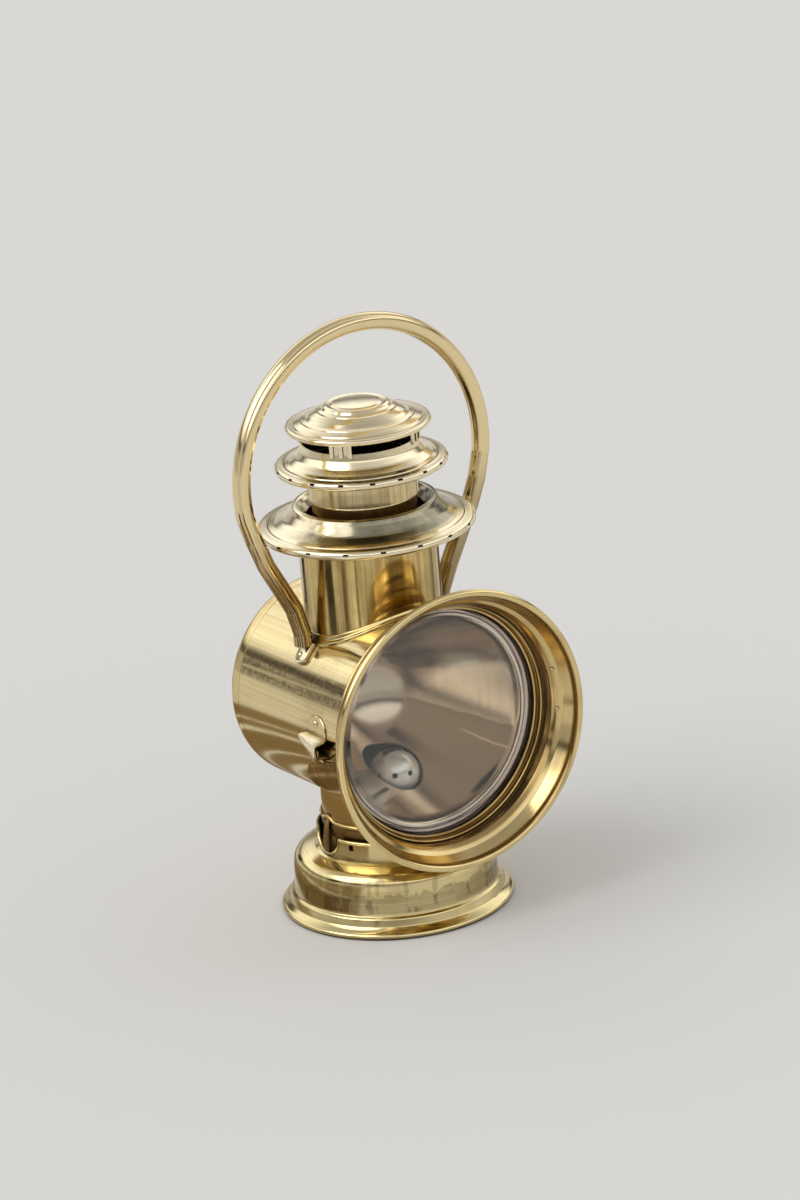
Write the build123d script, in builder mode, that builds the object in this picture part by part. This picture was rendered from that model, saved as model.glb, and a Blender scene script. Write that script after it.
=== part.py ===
"""Oil side lamp of spun sheet brass: drum, chimney with three caps, hinged
glass door with a flared hood, oil fount that drops out below, and a bail.

Units are millimetres and +Z is up. The lamp looks towards -Y. The origin is
on the fount's axis, at the bottom of its foot.
"""
import math
import os

from build123d import *

os.makedirs("parts", exist_ok=True)

# Sheet and clearances
SHEET = 0.8
RUN_GAP = 0.4
PIN_GAP = 0.06
END_GAP = 0.3
FREE_GAP = 0.1

# Fount: wall, foot, shoulder and neck
FOUNT_WALL_R = 50.2
FOUNT_WALL_BOTTOM_Z = 10.4
FOUNT_WALL_TOP_Z = 24.0
FOUNT_WALL_TAPER = 1.0
FOOT_FLARE = 6.8
FOOT_BEAD_R = 1.6
FOOT_STEP_OUT = 2.4
FOOT_STEP_Z = 5.4
FOOT_TOP_OUT = 1.4
FOOT_TOP_Z = 9.2
FOUNT_SHOULDER_Z = 32.4
SHOULDER_CROWN = 0.4
SHOULDER_BREAK_SHARE = 0.45
NECK_FILLET_OUT = 1.6
NECK_FILLET_UP = 1.4
FOUNT_NECK_R = 36.4
FOUNT_NECK_HEIGHT = 9.2
NOTCH_R = 8.6
NOTCH_ABOVE_NECK = 0.4
AIR_HOLE_AZIMUTH = 72.0
AIR_HOLE_WIDTH = 2.2
AIR_HOLE_HEIGHT = 3.0
AIR_HOLE_UP = 5.4
CUT_DEPTH = 8.0

# Collar of the fount that stands up inside the body's neck
GALLERY_STEP = 4.2
GALLERY_FOOT_UP = 1.8
GALLERY_HEIGHT = 18.2
GALLERY_FLOOR_UP = 11.8
SEAT_RING_OUT = 1.8
SEAT_RING_HEIGHT = 5.6
SEAT_RING_UP = 9.8

# Burner
BURNER_FORWARD = 9.0
BURNER_TUBE_R = 7.0
BURNER_TUBE_UP = 15.2
BURNER_DOME_R = 10.6
BURNER_DOME_UP = 7.5
BURNER_HOLE_R = 1.3
BURNER_HOLE_COUNT = 8
WICK_WIDTH = 9.0
WICK_THICK = 2.0
WICK_SLOT_GAP = 0.8
WICK_UP = 18.6

# Body neck under the drum, and the spring catch on it
NECK_ABOVE_FOUNT = 5.4
NECK_DEPTH = 5.1
NECK_BEAD_R = 1.2
NECK_ARCH_R = 9.0
NECK_ARCH_RISE = 2.2
CATCH_AZIMUTH = 97.8
CATCH_WIDTH = 5.2
CATCH_DROP = 11.0
CATCH_ROOT_UP = 3.8
CATCH_ROOT_HEIGHT = 4.4
CATCH_ROOT_EXTRA = 2.0

# Drum, along Y
DRUM_R = 51.5
DRUM_FRONT = 41.0
DRUM_BACK = 47.5
BACK_CAP_STRAIGHT = 2.0
BACK_CAP_ROUND = 7.0
BACK_CAP_DISH = 2.0
FRONT_RING_THICK = 2.2
FRONT_RING_WIDTH = 4.6
FRONT_RING_LIP = 2.6

# Reflector
DISH_BOWL_SHARE = 0.557
DISH_BACK_SHARE = 0.291
DISH_BOWL_TURN = 52.0
DISH_RIM_BACK = 1.0
DISH_HOLE_R = 13.5
DISH_TOP_HOLE_R = 15.0

# Door: skirt, glass seat and hood, all round the drum's axis
SKIRT_BACK = 41.8
SKIRT_DEPTH = 2.8
GLASS_LIP = 1.3
GLASS_SIDE_GAP = 1.2
GLASS_THICK = 3.0
GLASS_EDGE = 1.5
BEVEL_WIDTH = 5.0
DOOR_NECK_DEPTH = 12.4
DOOR_NECK_FLARE = 1.2
RETAINER_WIDTH = 2.2
RETAINER_CHAMFER = 0.8
RETAINER_BACK = 2.6
RETAINER_FRONT = 3.8
HOOD_LAP = 6.0
HOOD_STEP = 2.6
HOOD_STEP_DEPTH = 0.4
HOOD_FLARE = 9.4
HOOD_DEPTH = 9.4
HOOD_BEAD_R = 1.8

# Hinge at the lamp's +X side
HINGE_OUT = 9.5
HINGE_BEHIND_SEAT = 1.6
KNUCKLE_R = 2.7
HINGE_PIN_R = 1.2
HINGE_PIN_HEAD = 1.4
KNUCKLE_LENGTH = 9.0
LEAF_THICK = 1.2
LEAF_BACK_Y = -24.0
LEAF_BEND_Y = -36.0
LEAF_SINK = 1.5
LEAF_OVER_RING = 0.9
LEAF_HEEL = 4.2
LEAF_ROOT = 2.6
LEAF_EDGE = 1.0
LEAF_TUCK = 2.2
LEAF_LIFT = 0.6
LEAF_RISE = 3.0
DOOR_LEAF_HALF = 1.4
DOOR_LEAF_BEND = 3.6
DOOR_LEAF_FOOT = 5.0
DOOR_LEAF_FRONT = 7.6
DOOR_LEAF_OUT = 2.0

# Latch on the lamp's -X side, by the drum's front edge
KEEPER_Y = -23.0
KEEPER_DOWN = 4.4
KEEPER_OUT = 8.1
KEEPER_LENGTH = 14.0
KEEPER_HEIGHT = 13.0
KEEPER_WALL = 1.2
KEEPER_TAB_R = 6.0
KEEPER_TAB_Y = -20.0
KEEPER_TAB_UP = 5.4
KEEPER_TAB_THICK = 1.5
TONGUE_ANGLE = -22.0
TONGUE_WIDTH = 20.0
TONGUE_THICK = 0.9
TONGUE_TIP = 17.0
TONGUE_TIP_OUT = 4.6
TONGUE_BOW = 0.9

# Chimney, saddle flange and flue
CHIMNEY_R = 33.6
CHIMNEY_HEIGHT = 99.6
CHIMNEY_START = 30.0
SADDLE_WIDTH = 2.0
SADDLE_THICK = 1.2
FLUE_INSET = 8.3
FLUE_BELOW_TOP = 33.2
FLUE_ABOVE_TOP = 22.8
FLUE_PLATE_BELOW_TOP = 13.2

# Canopy over the chimney: rim, shoulder, lip round the flue
CANOPY_RIM_OUT = 17.0
CANOPY_RIM_DOWN = 9.5
CANOPY_BEAD_R = 2.1
CANOPY_EDGE_IN = 1.2
CANOPY_EDGE_UP = 1.1
CANOPY_TURN_IN = 3.4
CANOPY_TURN_UP = 2.5
CANOPY_SHOULDER_OUT = 6.0
CANOPY_SHOULDER_DOWN = 3.9
CANOPY_CREST_OUT = 0.8
CANOPY_CREST_UP = 1.6
CANOPY_LIP_IN = 1.4
CANOPY_LIP_UP = 2.0
CANOPY_CURL_IN = 3.0
CANOPY_CURL_UP = 0.4
CANOPY_HOLE_OUT = 3.1
CANOPY_HOLE_DOWN = 2.8

# Flue collar and middle cap, measured from the middle cap's plate
PLATE_ABOVE_TOP = 19.8
COLLAR_HEIGHT = 15.4
MIDDLE_RIM_OUT = 14.6
MIDDLE_BEAD_R = 1.9
MIDDLE_BEAD_UP = 1.2
MIDDLE_TURN_OUT = 11.3
MIDDLE_TURN_UP = 3.6
MIDDLE_WAIST_OUT = 6.1
MIDDLE_WAIST_UP = 6.6
MIDDLE_THROAT_OUT = 2.9
MIDDLE_THROAT_UP = 13.4

# Top cap and its four posts
POST_INSET = 0.2
POST_WIDTH = 11.5
POST_THICK = 1.0
POST_AZIMUTH = -142.0
POST_COUNT = 4
TOP_RIM_OUT = 8.5
TOP_RIM_UP = 20.8
TOP_BEAD_R = 1.4
TOP_GROOVE_OUT = 5.9
TOP_GROOVE_RISE = 2.2
TOP_STEP_R = 22.6
TOP_STEP_RISE = 5.8
TOP_DISC_R = 15.6
TOP_DISC_RISE = 9.8
TOP_APEX_RISE = 11.0

# Bail handle, measured from its lugs on the drum
BAIL_Y = 2.2
BAIL_TUBE_R = 4.4
BAIL_LOOP_R = 69.4
BAIL_LOOP_ABOVE_AXIS = 117.9
BAIL_END_UP = 8.7
BAIL_END_OUT = 6.4
BAIL_BEND_OUT = 4.9
BAIL_BEND_UP = 13.5
BAIL_BEND_R = 14.0
LUG_FROM_SADDLE = 9.3
LUG_WIDTH = 10.0
LUG_LENGTH = 13.0
LUG_THICK = 2.2
LUG_CENTRE_UP = 0.8
LUG_ROOT_UP = 2.4
LUG_ROOT_WIDTH = 8.4
LUG_ROOT_HEIGHT = 4.4
PAD_THICK = 1.2
PAD_LENGTH = 14.0
PAD_WIDTH = 12.0

# Bracket for the car's lamp iron, on the side away from the latch
SOCKET_Y = 10.0
SOCKET_OUT = 14.5
SOCKET_BORE_R = 6.5
SOCKET_WALL = 3.0
SOCKET_LENGTH = 44.0
BRACKET_PLATE_WIDTH = 30.0
BRACKET_PLATE_HEIGHT = 36.0
BRACKET_PLATE_THICK = 2.0
BRACKET_WEB_THICK = 9.0
BRACKET_WEB_HEIGHT = 26.0
SCREW_R = 3.0
SCREW_LENGTH = 13.0
WING_LENGTH = 9.0
WING_THICK = 3.0
WING_HEIGHT = 18.0

# Heights and radii that follow from the sizes above
FOOT_R = FOUNT_WALL_R + FOOT_FLARE
FOUNT_NECK_TOP_Z = FOUNT_SHOULDER_Z + FOUNT_NECK_HEIGHT
GALLERY_R = FOUNT_NECK_R - GALLERY_STEP
GALLERY_FOOT_Z = FOUNT_SHOULDER_Z + GALLERY_FOOT_UP
GALLERY_FLOOR_Z = GALLERY_FOOT_Z + GALLERY_FLOOR_UP
BURNER_TOP_Z = GALLERY_FLOOR_Z + SHEET + BURNER_TUBE_UP
DOME_Z = BURNER_TOP_Z + BURNER_DOME_UP
NECK_R = GALLERY_R + RUN_GAP + SHEET
NECK_BOTTOM_Z = FOUNT_NECK_TOP_Z + NECK_ABOVE_FOUNT
AXIS_Z = NECK_BOTTOM_Z + NECK_DEPTH + DRUM_R
FRONT_RING_R = DRUM_R + FRONT_RING_THICK
DISH_R = DRUM_R - SHEET - FREE_GAP
DISH_BOWL_R = DISH_BOWL_SHARE * DRUM_R
DISH_BACK = DISH_BACK_SHARE * DRUM_R
SKIRT_R = FRONT_RING_R + RUN_GAP + SHEET
SEAT_FRONT = SKIRT_BACK + SKIRT_DEPTH
GLASS_R = SKIRT_R + GLASS_LIP
GLASS_BACK = SEAT_FRONT + SHEET
DOOR_NECK_R = GLASS_R + GLASS_SIDE_GAP
DOOR_NECK_FRONT = SEAT_FRONT + DOOR_NECK_DEPTH
HOOD_ROOT_R = DOOR_NECK_R + HOOD_STEP
HOOD_R = HOOD_ROOT_R + HOOD_FLARE
HOOD_FRONT = DOOR_NECK_FRONT + HOOD_DEPTH
HINGE_X = DRUM_R + HINGE_OUT
HINGE_Y = -SEAT_FRONT + HINGE_BEHIND_SEAT
CHIMNEY_TOP_Z = AXIS_Z + CHIMNEY_HEIGHT
SADDLE_R = CHIMNEY_R + SADDLE_WIDTH
FLUE_R = CHIMNEY_R - FLUE_INSET
PLATE_Z = CHIMNEY_TOP_Z + PLATE_ABOVE_TOP
THROAT_R = FLUE_R + MIDDLE_THROAT_OUT
THROAT_Z = PLATE_Z + MIDDLE_THROAT_UP
TOP_RIM_R = FLUE_R + TOP_RIM_OUT
TOP_RIM_Z = PLATE_Z + TOP_RIM_UP
LUG_ANGLE = math.degrees(math.acos(SADDLE_R / (DRUM_R + PAD_THICK))) - LUG_FROM_SADDLE
SOCKET_X = DRUM_R + SOCKET_OUT

FAR = 2 * (HOOD_R + HOOD_FRONT)
DRUM_AXIS = Axis((0, 0, AXIS_Z), (0, 1, 0))
# In this plane x runs forwards from the fount's axis and y outwards from the drum's axis
DRUM_PLANE = Plane(origin=(0, 0, AXIS_Z), x_dir=(0, -1, 0), z_dir=(-1, 0, 0))
made = []


def store(part, label):
    part.label = label
    export_step(part, "parts/" + label + ".step")
    made.append(label)


def from_minus_y(azimuth):
    """Direction at an angle from -Y towards -X."""
    turn = math.radians(azimuth)
    return Vector(-math.sin(turn), -math.cos(turn), 0)


def drum_tube(inner, outer, back=-FAR, front=FAR):
    """A tube round the drum's axis, from back to front, both measured forwards."""
    length = front - back
    place = Location((0, -(front + back) / 2, AXIS_Z), (90, 0, 0))
    tube = Cylinder(outer, length, mode=Mode.PRIVATE)
    if inner > 0:
        tube = tube - Cylinder(inner, length, mode=Mode.PRIVATE)
    return place * tube


# Fount shell: one spun sheet from the foot to the neck
FOOT_PROFILE = ((FOOT_R - FOOT_BEAD_R - 1.0, FOOT_BEAD_R + 1.0), (FOUNT_WALL_R + FOOT_STEP_OUT, FOOT_STEP_Z),
                (FOUNT_WALL_R + FOOT_TOP_OUT, FOOT_TOP_Z), (FOUNT_WALL_R, FOUNT_WALL_BOTTOM_Z),
                (FOUNT_WALL_R - FOUNT_WALL_TAPER, FOUNT_WALL_TOP_Z))
shoulder_r = FOUNT_NECK_R + NECK_FILLET_OUT
shoulder_z = FOUNT_SHOULDER_Z - SHOULDER_CROWN
break_r = FOUNT_NECK_R + SHOULDER_BREAK_SHARE * (FOUNT_WALL_R - FOUNT_NECK_R)
with BuildPart() as fount_shell:
    with BuildSketch(Plane.XZ):
        with BuildLine():
            foot_line = Polyline(*FOOT_PROFILE)
            wall_arc = TangentArc([foot_line @ 1, (break_r, shoulder_z)], tangent=(0, 1))
            Line(wall_arc @ 1, (shoulder_r, FOUNT_SHOULDER_Z))
            Line((shoulder_r, FOUNT_SHOULDER_Z), (FOUNT_NECK_R, FOUNT_SHOULDER_Z + NECK_FILLET_UP))
            Line((FOUNT_NECK_R, FOUNT_SHOULDER_Z + NECK_FILLET_UP), (FOUNT_NECK_R, FOUNT_NECK_TOP_Z))
            offset(amount=SHEET, side=Side.LEFT)
        make_face()
        with Locations((FOOT_R - FOOT_BEAD_R, FOOT_BEAD_R)):
            Circle(FOOT_BEAD_R)
        with Locations((FOUNT_NECK_R, FOUNT_NECK_TOP_Z)):
            Circle(SHEET)
    revolve(axis=Axis.Z)
    notch_out = from_minus_y(CATCH_AZIMUTH)
    with BuildSketch(Plane(origin=notch_out * (FOUNT_NECK_R - CUT_DEPTH / 2), z_dir=notch_out)):
        with Locations((0, FOUNT_NECK_TOP_Z + NOTCH_ABOVE_NECK)):
            Circle(NOTCH_R)
    extrude(amount=CUT_DEPTH, mode=Mode.SUBTRACT)
    hole_out = from_minus_y(AIR_HOLE_AZIMUTH)
    with BuildSketch(Plane(origin=hole_out * (FOUNT_NECK_R - CUT_DEPTH / 2), z_dir=hole_out)):
        with Locations((0, FOUNT_SHOULDER_Z + AIR_HOLE_UP)):
            Rectangle(AIR_HOLE_WIDTH, AIR_HOLE_HEIGHT)
    extrude(amount=CUT_DEPTH, mode=Mode.SUBTRACT)
store(fount_shell.part, "fount_shell")

with BuildPart() as fount_floor:
    with BuildSketch(Plane.XY):
        Circle(FOOT_R - 2 * FOOT_BEAD_R - END_GAP)
    extrude(amount=SHEET)
store(fount_floor.part, "fount_floor")

with BuildPart() as gallery:
    with BuildSketch(Plane.XZ):
        with BuildLine():
            Polyline((FOUNT_NECK_R - SHEET, GALLERY_FOOT_Z), (GALLERY_R, GALLERY_FOOT_Z),
                     (GALLERY_R, GALLERY_FOOT_Z + GALLERY_HEIGHT))
            offset(amount=SHEET, side=Side.LEFT)
        make_face()
        with Locations((GALLERY_R, GALLERY_FOOT_Z + SEAT_RING_UP)):
            Rectangle(2 * SEAT_RING_OUT, SEAT_RING_HEIGHT)
    revolve(axis=Axis.Z)
    with BuildSketch(Plane.XY.offset(GALLERY_FLOOR_Z)):
        Circle(GALLERY_R - SHEET / 2)
    extrude(amount=SHEET)
store(gallery.part, "burner_gallery")

with BuildPart() as burner:
    with BuildSketch(Plane.XY.offset(GALLERY_FLOOR_Z + SHEET)):
        with Locations((0, -BURNER_FORWARD)):
            Circle(BURNER_TUBE_R)
    extrude(amount=BURNER_TUBE_UP)
store(burner.part, "burner_body")

with BuildPart() as dome:
    with Locations((0, -BURNER_FORWARD, DOME_Z)):
        Sphere(BURNER_DOME_R)
        Sphere(BURNER_DOME_R - SHEET, mode=Mode.SUBTRACT)
        Box(WICK_WIDTH + 2 * WICK_SLOT_GAP, WICK_THICK + 2 * WICK_SLOT_GAP, 2 * BURNER_DOME_R,
            align=(Align.CENTER, Align.CENTER, Align.MIN), mode=Mode.SUBTRACT)
        with PolarLocations(0, BURNER_HOLE_COUNT):
            Cylinder(BURNER_HOLE_R, 2 * BURNER_DOME_R, rotation=(0, 90, 0),
                     align=(Align.CENTER, Align.CENTER, Align.MIN), mode=Mode.SUBTRACT)
    with Locations((0, -BURNER_FORWARD, BURNER_TOP_Z)):
        Cylinder(2 * BURNER_DOME_R, 2 * BURNER_DOME_R, align=(Align.CENTER, Align.CENTER, Align.MAX),
                 mode=Mode.SUBTRACT)
store(dome.part, "burner_dome")

with BuildPart() as wick:
    with BuildSketch(Plane.XY.offset(BURNER_TOP_Z)):
        with Locations((0, -BURNER_FORWARD)):
            Rectangle(WICK_WIDTH, WICK_THICK)
    extrude(amount=WICK_UP)
store(wick.part, "wick")

# Body neck: a tube from the drum down to the fount, arched over the catch
with BuildPart() as body_neck:
    with Locations((0, 0, NECK_BOTTOM_Z)):
        Cylinder(NECK_R, AXIS_Z - NECK_BOTTOM_Z, align=(Align.CENTER, Align.CENTER, Align.MIN))
    with BuildSketch(Plane.XZ):
        with Locations((NECK_R, NECK_BOTTOM_Z + NECK_BEAD_R)):
            Circle(NECK_BEAD_R)
    revolve(axis=Axis.Z)
    add(drum_tube(0, DRUM_R), mode=Mode.SUBTRACT)
    with Locations((0, 0, AXIS_Z)):
        Cylinder(GALLERY_R + RUN_GAP, 2 * AXIS_Z, mode=Mode.SUBTRACT)
    arch_out = from_minus_y(CATCH_AZIMUTH)
    with BuildSketch(Plane(origin=arch_out * (NECK_R - CUT_DEPTH / 2), z_dir=arch_out)):
        with Locations((0, NECK_BOTTOM_Z + NECK_ARCH_RISE - NECK_ARCH_R)):
            Circle(NECK_ARCH_R)
    extrude(amount=CUT_DEPTH, mode=Mode.SUBTRACT)
store(body_neck.part, "body_neck")

with BuildPart() as drum_shell:
    add(drum_tube(DRUM_R - SHEET, DRUM_R, -DRUM_BACK, DRUM_FRONT))
    with Locations((0, 0, AXIS_Z)):
        Cylinder(NECK_R - SHEET, 2 * DRUM_R, align=(Align.CENTER, Align.CENTER, Align.MAX),
                 mode=Mode.SUBTRACT)
        Cylinder(CHIMNEY_R - SHEET, 2 * DRUM_R, align=(Align.CENTER, Align.CENTER, Align.MIN),
                 mode=Mode.SUBTRACT)
store(drum_shell.part, "drum_shell")

cap_straight = -DRUM_BACK - BACK_CAP_STRAIGHT
cap_face = cap_straight - BACK_CAP_ROUND
with BuildPart() as back_cap:
    with BuildSketch(DRUM_PLANE):
        with BuildLine():
            Line((-DRUM_BACK, DRUM_R), (cap_straight, DRUM_R))
            RadiusArc((cap_straight, DRUM_R), (cap_face, DRUM_R - BACK_CAP_ROUND), -BACK_CAP_ROUND)
            Line((cap_face, DRUM_R - BACK_CAP_ROUND), (cap_face - BACK_CAP_DISH, 0))
            offset(amount=SHEET, side=Side.LEFT)
        make_face()
        Rectangle(2 * FAR, FAR, align=(Align.CENTER, Align.MIN), mode=Mode.INTERSECT)
    revolve(axis=DRUM_AXIS)
store(back_cap.part, "back_cap")

with BuildPart() as front_ring:
    add(drum_tube(DRUM_R, FRONT_RING_R, DRUM_FRONT + FRONT_RING_LIP - FRONT_RING_WIDTH,
                  DRUM_FRONT + FRONT_RING_LIP))
store(front_ring.part, "front_ring")

with BuildPart() as reflector:
    with BuildSketch(DRUM_PLANE):
        with BuildLine():
            front = CenterArc((DISH_BOWL_R - DISH_BACK, 0), DISH_BOWL_R, 180, -DISH_BOWL_TURN)
            back = CenterArc((DISH_BOWL_R - DISH_BACK, 0), DISH_BOWL_R + SHEET, 180, -DISH_BOWL_TURN)
            front_flare = TangentArc([front @ 1, (DRUM_FRONT - DISH_RIM_BACK, DISH_R - SHEET)],
                                     tangent=front % 1)
            back_flare = TangentArc([back @ 1, (DRUM_FRONT - DISH_RIM_BACK - SHEET / 2, DISH_R)],
                                    tangent=back % 1)
            Line(front @ 0, back @ 0)
            Line(front_flare @ 1, back_flare @ 1)
        make_face()
    revolve(axis=DRUM_AXIS)
    with Locations((0, -BURNER_FORWARD, AXIS_Z)):
        Cylinder(DISH_HOLE_R, DRUM_R, align=(Align.CENTER, Align.CENTER, Align.MAX), mode=Mode.SUBTRACT)
        Cylinder(DISH_TOP_HOLE_R, DRUM_R, align=(Align.CENTER, Align.CENTER, Align.MIN), mode=Mode.SUBTRACT)
store(reflector.part, "reflector")

# Chimney, and the saddle flange that lies on the drum
with BuildPart() as chimney:
    with BuildSketch(Plane.XY.offset(AXIS_Z)):
        Circle(CHIMNEY_R)
        Circle(CHIMNEY_R - SHEET, mode=Mode.SUBTRACT)
    extrude(amount=CHIMNEY_HEIGHT)
    add(drum_tube(0, DRUM_R), mode=Mode.SUBTRACT)
store(chimney.part, "chimney")

with BuildPart() as saddle:
    with BuildSketch(Plane.XY.offset(AXIS_Z)):
        Circle(SADDLE_R)
        Circle(CHIMNEY_R, mode=Mode.SUBTRACT)
    extrude(amount=CHIMNEY_HEIGHT)
    add(drum_tube(DRUM_R, DRUM_R + SADDLE_THICK), mode=Mode.INTERSECT)
store(saddle.part, "saddle_flange")

# Three spun caps over the flue, each with a rolled rim
canopy_rim = (CHIMNEY_R + CANOPY_RIM_OUT, CHIMNEY_TOP_Z - CANOPY_RIM_DOWN)
canopy_edge = (canopy_rim[0] - CANOPY_EDGE_IN, canopy_rim[1] + CANOPY_EDGE_UP)
canopy_turn = (canopy_rim[0] - CANOPY_TURN_IN, canopy_rim[1] + CANOPY_TURN_UP)
canopy_shoulder = (CHIMNEY_R + CANOPY_SHOULDER_OUT, CHIMNEY_TOP_Z - CANOPY_SHOULDER_DOWN)
canopy_crest = (CHIMNEY_R + CANOPY_CREST_OUT, CHIMNEY_TOP_Z + CANOPY_CREST_UP)
canopy_lip = (CHIMNEY_R - CANOPY_LIP_IN, CHIMNEY_TOP_Z + CANOPY_LIP_UP)
canopy_curl = (CHIMNEY_R - CANOPY_CURL_IN, CHIMNEY_TOP_Z + CANOPY_CURL_UP)
with BuildPart() as canopy:
    with BuildSketch(Plane.XZ):
        with BuildLine():
            Line(canopy_edge, canopy_turn)
            ThreePointArc(canopy_turn, canopy_shoulder, canopy_crest)
            ThreePointArc(canopy_crest, canopy_lip, canopy_curl)
            Line(canopy_curl, (FLUE_R + CANOPY_HOLE_OUT, CHIMNEY_TOP_Z - CANOPY_HOLE_DOWN))
            offset(amount=SHEET, side=Side.LEFT)
        make_face()
        with Locations(canopy_rim):
            Circle(CANOPY_BEAD_R)
    revolve(axis=Axis.Z)
    with Locations((0, 0, CHIMNEY_TOP_Z)):
        Cylinder(CHIMNEY_R, CHIMNEY_HEIGHT, align=(Align.CENTER, Align.CENTER, Align.MAX),
                 mode=Mode.SUBTRACT)
store(canopy.part, "canopy")

flue_bottom = CHIMNEY_TOP_Z - FLUE_BELOW_TOP
flue_top = CHIMNEY_TOP_Z + FLUE_ABOVE_TOP
flue_plate_r = CHIMNEY_R - SHEET - FREE_GAP
with BuildPart() as flue:
    with BuildSketch(Plane.XZ):
        with Locations((FLUE_R - SHEET / 2, (flue_bottom + flue_top) / 2)):
            Rectangle(SHEET, flue_top - flue_bottom)
        with Locations(((FLUE_R - SHEET + flue_plate_r) / 2, CHIMNEY_TOP_Z - FLUE_PLATE_BELOW_TOP)):
            Rectangle(flue_plate_r - FLUE_R + SHEET, SHEET)
    revolve(axis=Axis.Z)
store(flue.part, "flue")

with BuildPart() as collar:
    with BuildSketch(Plane.XY.offset(PLATE_Z - COLLAR_HEIGHT)):
        Circle(FLUE_R + SHEET)
        Circle(FLUE_R, mode=Mode.SUBTRACT)
    extrude(amount=COLLAR_HEIGHT - SHEET / 2)
store(collar.part, "flue_collar")

middle_rim = (FLUE_R + MIDDLE_RIM_OUT, PLATE_Z + MIDDLE_BEAD_UP)
middle_turn = (FLUE_R + MIDDLE_TURN_OUT, PLATE_Z + MIDDLE_TURN_UP)
middle_waist = (FLUE_R + MIDDLE_WAIST_OUT, PLATE_Z + MIDDLE_WAIST_UP)
with BuildPart() as middle_cap:
    with BuildSketch(Plane.XZ):
        with BuildLine():
            Line((middle_rim[0] - SHEET, middle_rim[1] + SHEET), middle_turn)
            ThreePointArc(middle_turn, middle_waist, (THROAT_R, THROAT_Z))
            offset(amount=SHEET, side=Side.LEFT)
        make_face()
        with Locations(middle_rim):
            Circle(MIDDLE_BEAD_R)
        with Locations(((FLUE_R + middle_rim[0]) / 2, PLATE_Z)):
            Rectangle(MIDDLE_RIM_OUT, SHEET)
    revolve(axis=Axis.Z)
store(middle_cap.part, "middle_cap")

# Outer line of the top cap from its rim to its centre, and the line one sheet below it
top_rim = (TOP_RIM_R, TOP_RIM_Z)
top_groove = (FLUE_R + TOP_GROOVE_OUT, TOP_RIM_Z + TOP_GROOVE_RISE)
top_step = (TOP_STEP_R, TOP_RIM_Z + TOP_STEP_RISE)
top_disc = (TOP_DISC_R, TOP_RIM_Z + TOP_DISC_RISE)
top_apex = (0, TOP_RIM_Z + TOP_APEX_RISE)
step_foot = (TOP_STEP_R + 2 * SHEET, TOP_RIM_Z + TOP_STEP_RISE - 2 * SHEET)
disc_foot = (TOP_DISC_R + SHEET, TOP_RIM_Z + TOP_DISC_RISE - SHEET)
apex_rise = TOP_APEX_RISE - TOP_DISC_RISE
under_rim = (TOP_RIM_R, TOP_RIM_Z - SHEET / 2)
under_step = (TOP_STEP_R + SHEET, TOP_RIM_Z + TOP_STEP_RISE - 3 * SHEET)
under_disc = (TOP_DISC_R, TOP_RIM_Z + TOP_DISC_RISE - 2 * SHEET)
under_apex = (0, TOP_RIM_Z + TOP_APEX_RISE - 1.5 * SHEET)
with BuildPart() as cap_posts:
    with BuildSketch(Plane.XY.offset(THROAT_Z)):
        with PolarLocations(THROAT_R - POST_INSET, POST_COUNT, start_angle=POST_AZIMUTH):
            Rectangle(POST_THICK, POST_WIDTH)
    extrude(amount=TOP_RIM_Z + TOP_APEX_RISE - THROAT_Z)
    with BuildSketch(Plane.XZ):
        with BuildLine():
            Polyline(under_rim, under_step, under_disc, under_apex, (0, TOP_RIM_Z + 2 * TOP_APEX_RISE),
                     (TOP_RIM_R, TOP_RIM_Z + 2 * TOP_APEX_RISE), close=True)
        make_face()
    revolve(axis=Axis.Z, mode=Mode.SUBTRACT)
store(cap_posts.part, "cap_posts")

with BuildPart() as top_cap:
    with BuildSketch(Plane.XZ):
        with BuildLine():
            Polyline(top_rim, top_groove, step_foot, top_step, disc_foot, top_disc)
            RadiusArc(top_disc, top_apex, -(TOP_DISC_R ** 2 + apex_rise ** 2) / (2 * apex_rise))
            Polyline(top_apex, under_apex, under_disc, under_step, under_rim, top_rim)
        make_face()
        with Locations(top_rim):
            Circle(TOP_BEAD_R)
    revolve(axis=Axis.Z)
store(top_cap.part, "top_cap")

# Door: skirt over the front ring, seat for the glass, and the neck of the hood
door_neck_end = (DOOR_NECK_FRONT, DOOR_NECK_R + DOOR_NECK_FLARE)
lap_back = DOOR_NECK_FRONT - HOOD_LAP
lap_back_r = DOOR_NECK_R + DOOR_NECK_FLARE * (lap_back - SEAT_FRONT) / DOOR_NECK_DEPTH
hood_rim = (HOOD_FRONT, HOOD_R - HOOD_BEAD_R)
with BuildPart() as door_frame:
    with BuildSketch(DRUM_PLANE):
        with BuildLine():
            Polyline((SKIRT_BACK, SKIRT_R), (SEAT_FRONT, SKIRT_R), (SEAT_FRONT, DOOR_NECK_R), door_neck_end)
            offset(amount=SHEET, side=Side.RIGHT)
        make_face()
    revolve(axis=DRUM_AXIS)
store(door_frame.part, "door_frame")

with BuildPart() as hood:
    with BuildSketch(DRUM_PLANE):
        with BuildLine():
            Polyline((lap_back, lap_back_r + FREE_GAP), (DOOR_NECK_FRONT, door_neck_end[1] + FREE_GAP),
                     (DOOR_NECK_FRONT + HOOD_STEP_DEPTH, HOOD_ROOT_R),
                     (hood_rim[0] - 1.5 * SHEET, hood_rim[1] - SHEET))
            offset(amount=SHEET, side=Side.LEFT)
        make_face()
        with Locations(hood_rim):
            Circle(HOOD_BEAD_R)
    revolve(axis=DRUM_AXIS)
store(hood.part, "hood")

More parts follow.
